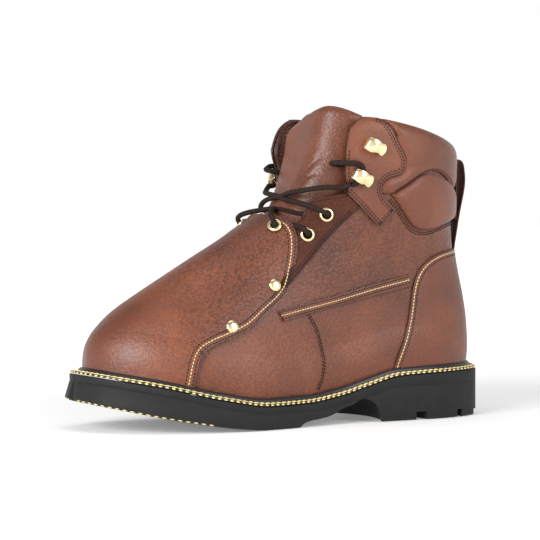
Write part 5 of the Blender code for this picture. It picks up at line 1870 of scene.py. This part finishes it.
# the small bars of close stitches that lock the guard's seam and the strip's end
BARS = (
    ((0.2395, 0.0520), (0.2470, 0.0585)),
    ((0.2375, 0.0545), (0.2450, 0.0610)),
    ((0.2470, 0.0585), (0.2450, 0.0610)),
)
black, cream = [], []


def sew(side, line, offset, lift, rods, radius=THREAD, pitch=0.0024, share=0.84):
    """Adds one row of stitches, at an offset to the left of a line and lifted off the skin."""
    points, normals = offset_line(side, line, offset, lift)
    rods += stitches_along(points, normals, pitch, share, radius)


def over_welt(station, height):
    return height > float(feather_height(station)) - 0.001


for side in (1, -1):
    shown = part_of(guard_line, lambda s, h: over_welt(s, h) and (s < 0.1655 or h < 0.130))
    for offset, rods, radius in ((0.0020, black, THREAD), (0.0043, cream, 0.00046), (0.0066, black, THREAD)):
        sew(side, shown, side * offset, ON_GUARD, rods, radius)
    shown = part_of(counter_line, lambda s, h: over_welt(s, h) and s > 0.0166)
    for offset, rods, radius in ((0.0021, cream, 0.00044), (0.0044, black, THREAD)):
        sew(side, shown, -side * offset, ON_OVERLAY, rods, radius)
    shown = part_of(strip_top, lambda s, h: s > 0.0700 and not in_outline(guard_outline, s - 0.0010, h))
    for offset, rods, radius in ((0.0014, black, THREAD), (0.0037, cream, 0.00040), (0.0060, black, THREAD)):
        sew(side, shown, -side * offset, ON_OVERLAY, rods, radius, 0.0022)
    for offset in (-0.0006, -0.0024):
        sew(side, vamp_line[2:-2], -side * offset, 0.0004, black, pitch=0.0023, share=0.82)
    shown = part_of(eyestay_line, lambda s, h: s > 0.1200)
    for offset in (0.0016, 0.0034):
        sew(side, shown, side * offset, ON_OVERLAY, black, pitch=0.0023, share=0.80)
    shown = part_of(throat_line[side], lambda s, h: 0.142 < h < EYESTAY_TOP - 0.001)
    sew(side, shown, -side * 0.0020, ON_OVERLAY, black, pitch=0.0023, share=0.80)
    for offset in (0.0018, 0.0036):
        sew(side, panel_line[16:-6], side * offset, ON_PANEL, black, share=0.82)
    shown = part_of(throat_line[side], lambda s, h: 0.1665 < h < 0.192)
    sew(side, shown, -side * 0.0022, ON_PANEL, black, share=0.82)
    corner = corner_for(side)[12:-6]
    corner_x = np.abs(line_places(side, corner)[2][:, 0])
    corner = corner[corner_x > throat_reach[side](corner[:, 1]) + 0.0015]
    if len(corner) > 8:
        sew(side, corner, side * 0.0022, ON_PANEL, black, share=0.82)
    shown = part_of(pad_line, lambda s, h: s > 0.020)
    for offset in (0.0018, 0.0034):
        sew(side, shown, side * offset, 0.0002, black, share=0.80)
    shown = part_of(cuff_line, lambda s, h: 0.030 < s < 0.0880)
    sew(side, shown, side * 0.0016, 0.0022, black, pitch=0.0026, share=0.75)
    for bar in BARS:
        sew(side, soft_line(bar), 0.0, ON_GUARD, black, pitch=0.0016, share=0.95)
print("rows laid")
thread_mesh("stitches_black", black, "brown_lace", black_thread)
thread_mesh("stitches_cream", cream, "brown_lace", cream_thread)

# %% Welt stitching
WELT_PITCH = 0.0046
WELT_STITCH_RADIUS = 0.00092
TOE_STITCHES = (0.2350, 0.3040)

outer, inner = welt_loops(900)
line = outer + (inner - outer) * 0.20
line[:, 2] = midsole_top(HEEL_BACK - line[:, 1]) + SEAT + 0.0016
ups = np.tile([0.0, 0.0, 1.0], (len(line), 1))
rods = stitches_along(line, ups, WELT_PITCH, 1.12, WELT_STITCH_RADIUS, 0.16)
lower = outer - (inner - outer) * 0.02
lower[:, 2] = midsole_top(HEEL_BACK - lower[:, 1]) + SEAT + 0.0007
rods += stitches_along(lower, ups, WELT_PITCH, 0.55, 0.0006, -0.20)
edge_rows = [
    sole_section(share, tread_bottom, midsole_bottom, TOE_FLARE, TOE_BEVEL, 0.0007)
    for share in np.linspace(0.02, 0.98, 500)
]
for first, second in ((1, 2), (2 * 8 + MIDDLE_POINTS - 2, 2 * 8 + MIDDLE_POINTS - 3)):
    edge = np.array([(np.array(row[first]) + np.array(row[second])) / 2 for row in edge_rows])
    station = HEEL_BACK - edge[:, 1]
    edge = edge[(station > TOE_STITCHES[0]) & (station < TOE_STITCHES[1] + 0.010)]
    outward = np.tile([1.0 if first == 1 else -1.0, -0.4, -0.8], (len(edge), 1))
    outward /= np.linalg.norm(outward, axis=1, keepdims=True)
    rods += stitches_along(edge, outward, 0.0052, 0.62, 0.00062)
thread_mesh("welt_stitches", rods, "brown_lace", welt_thread)
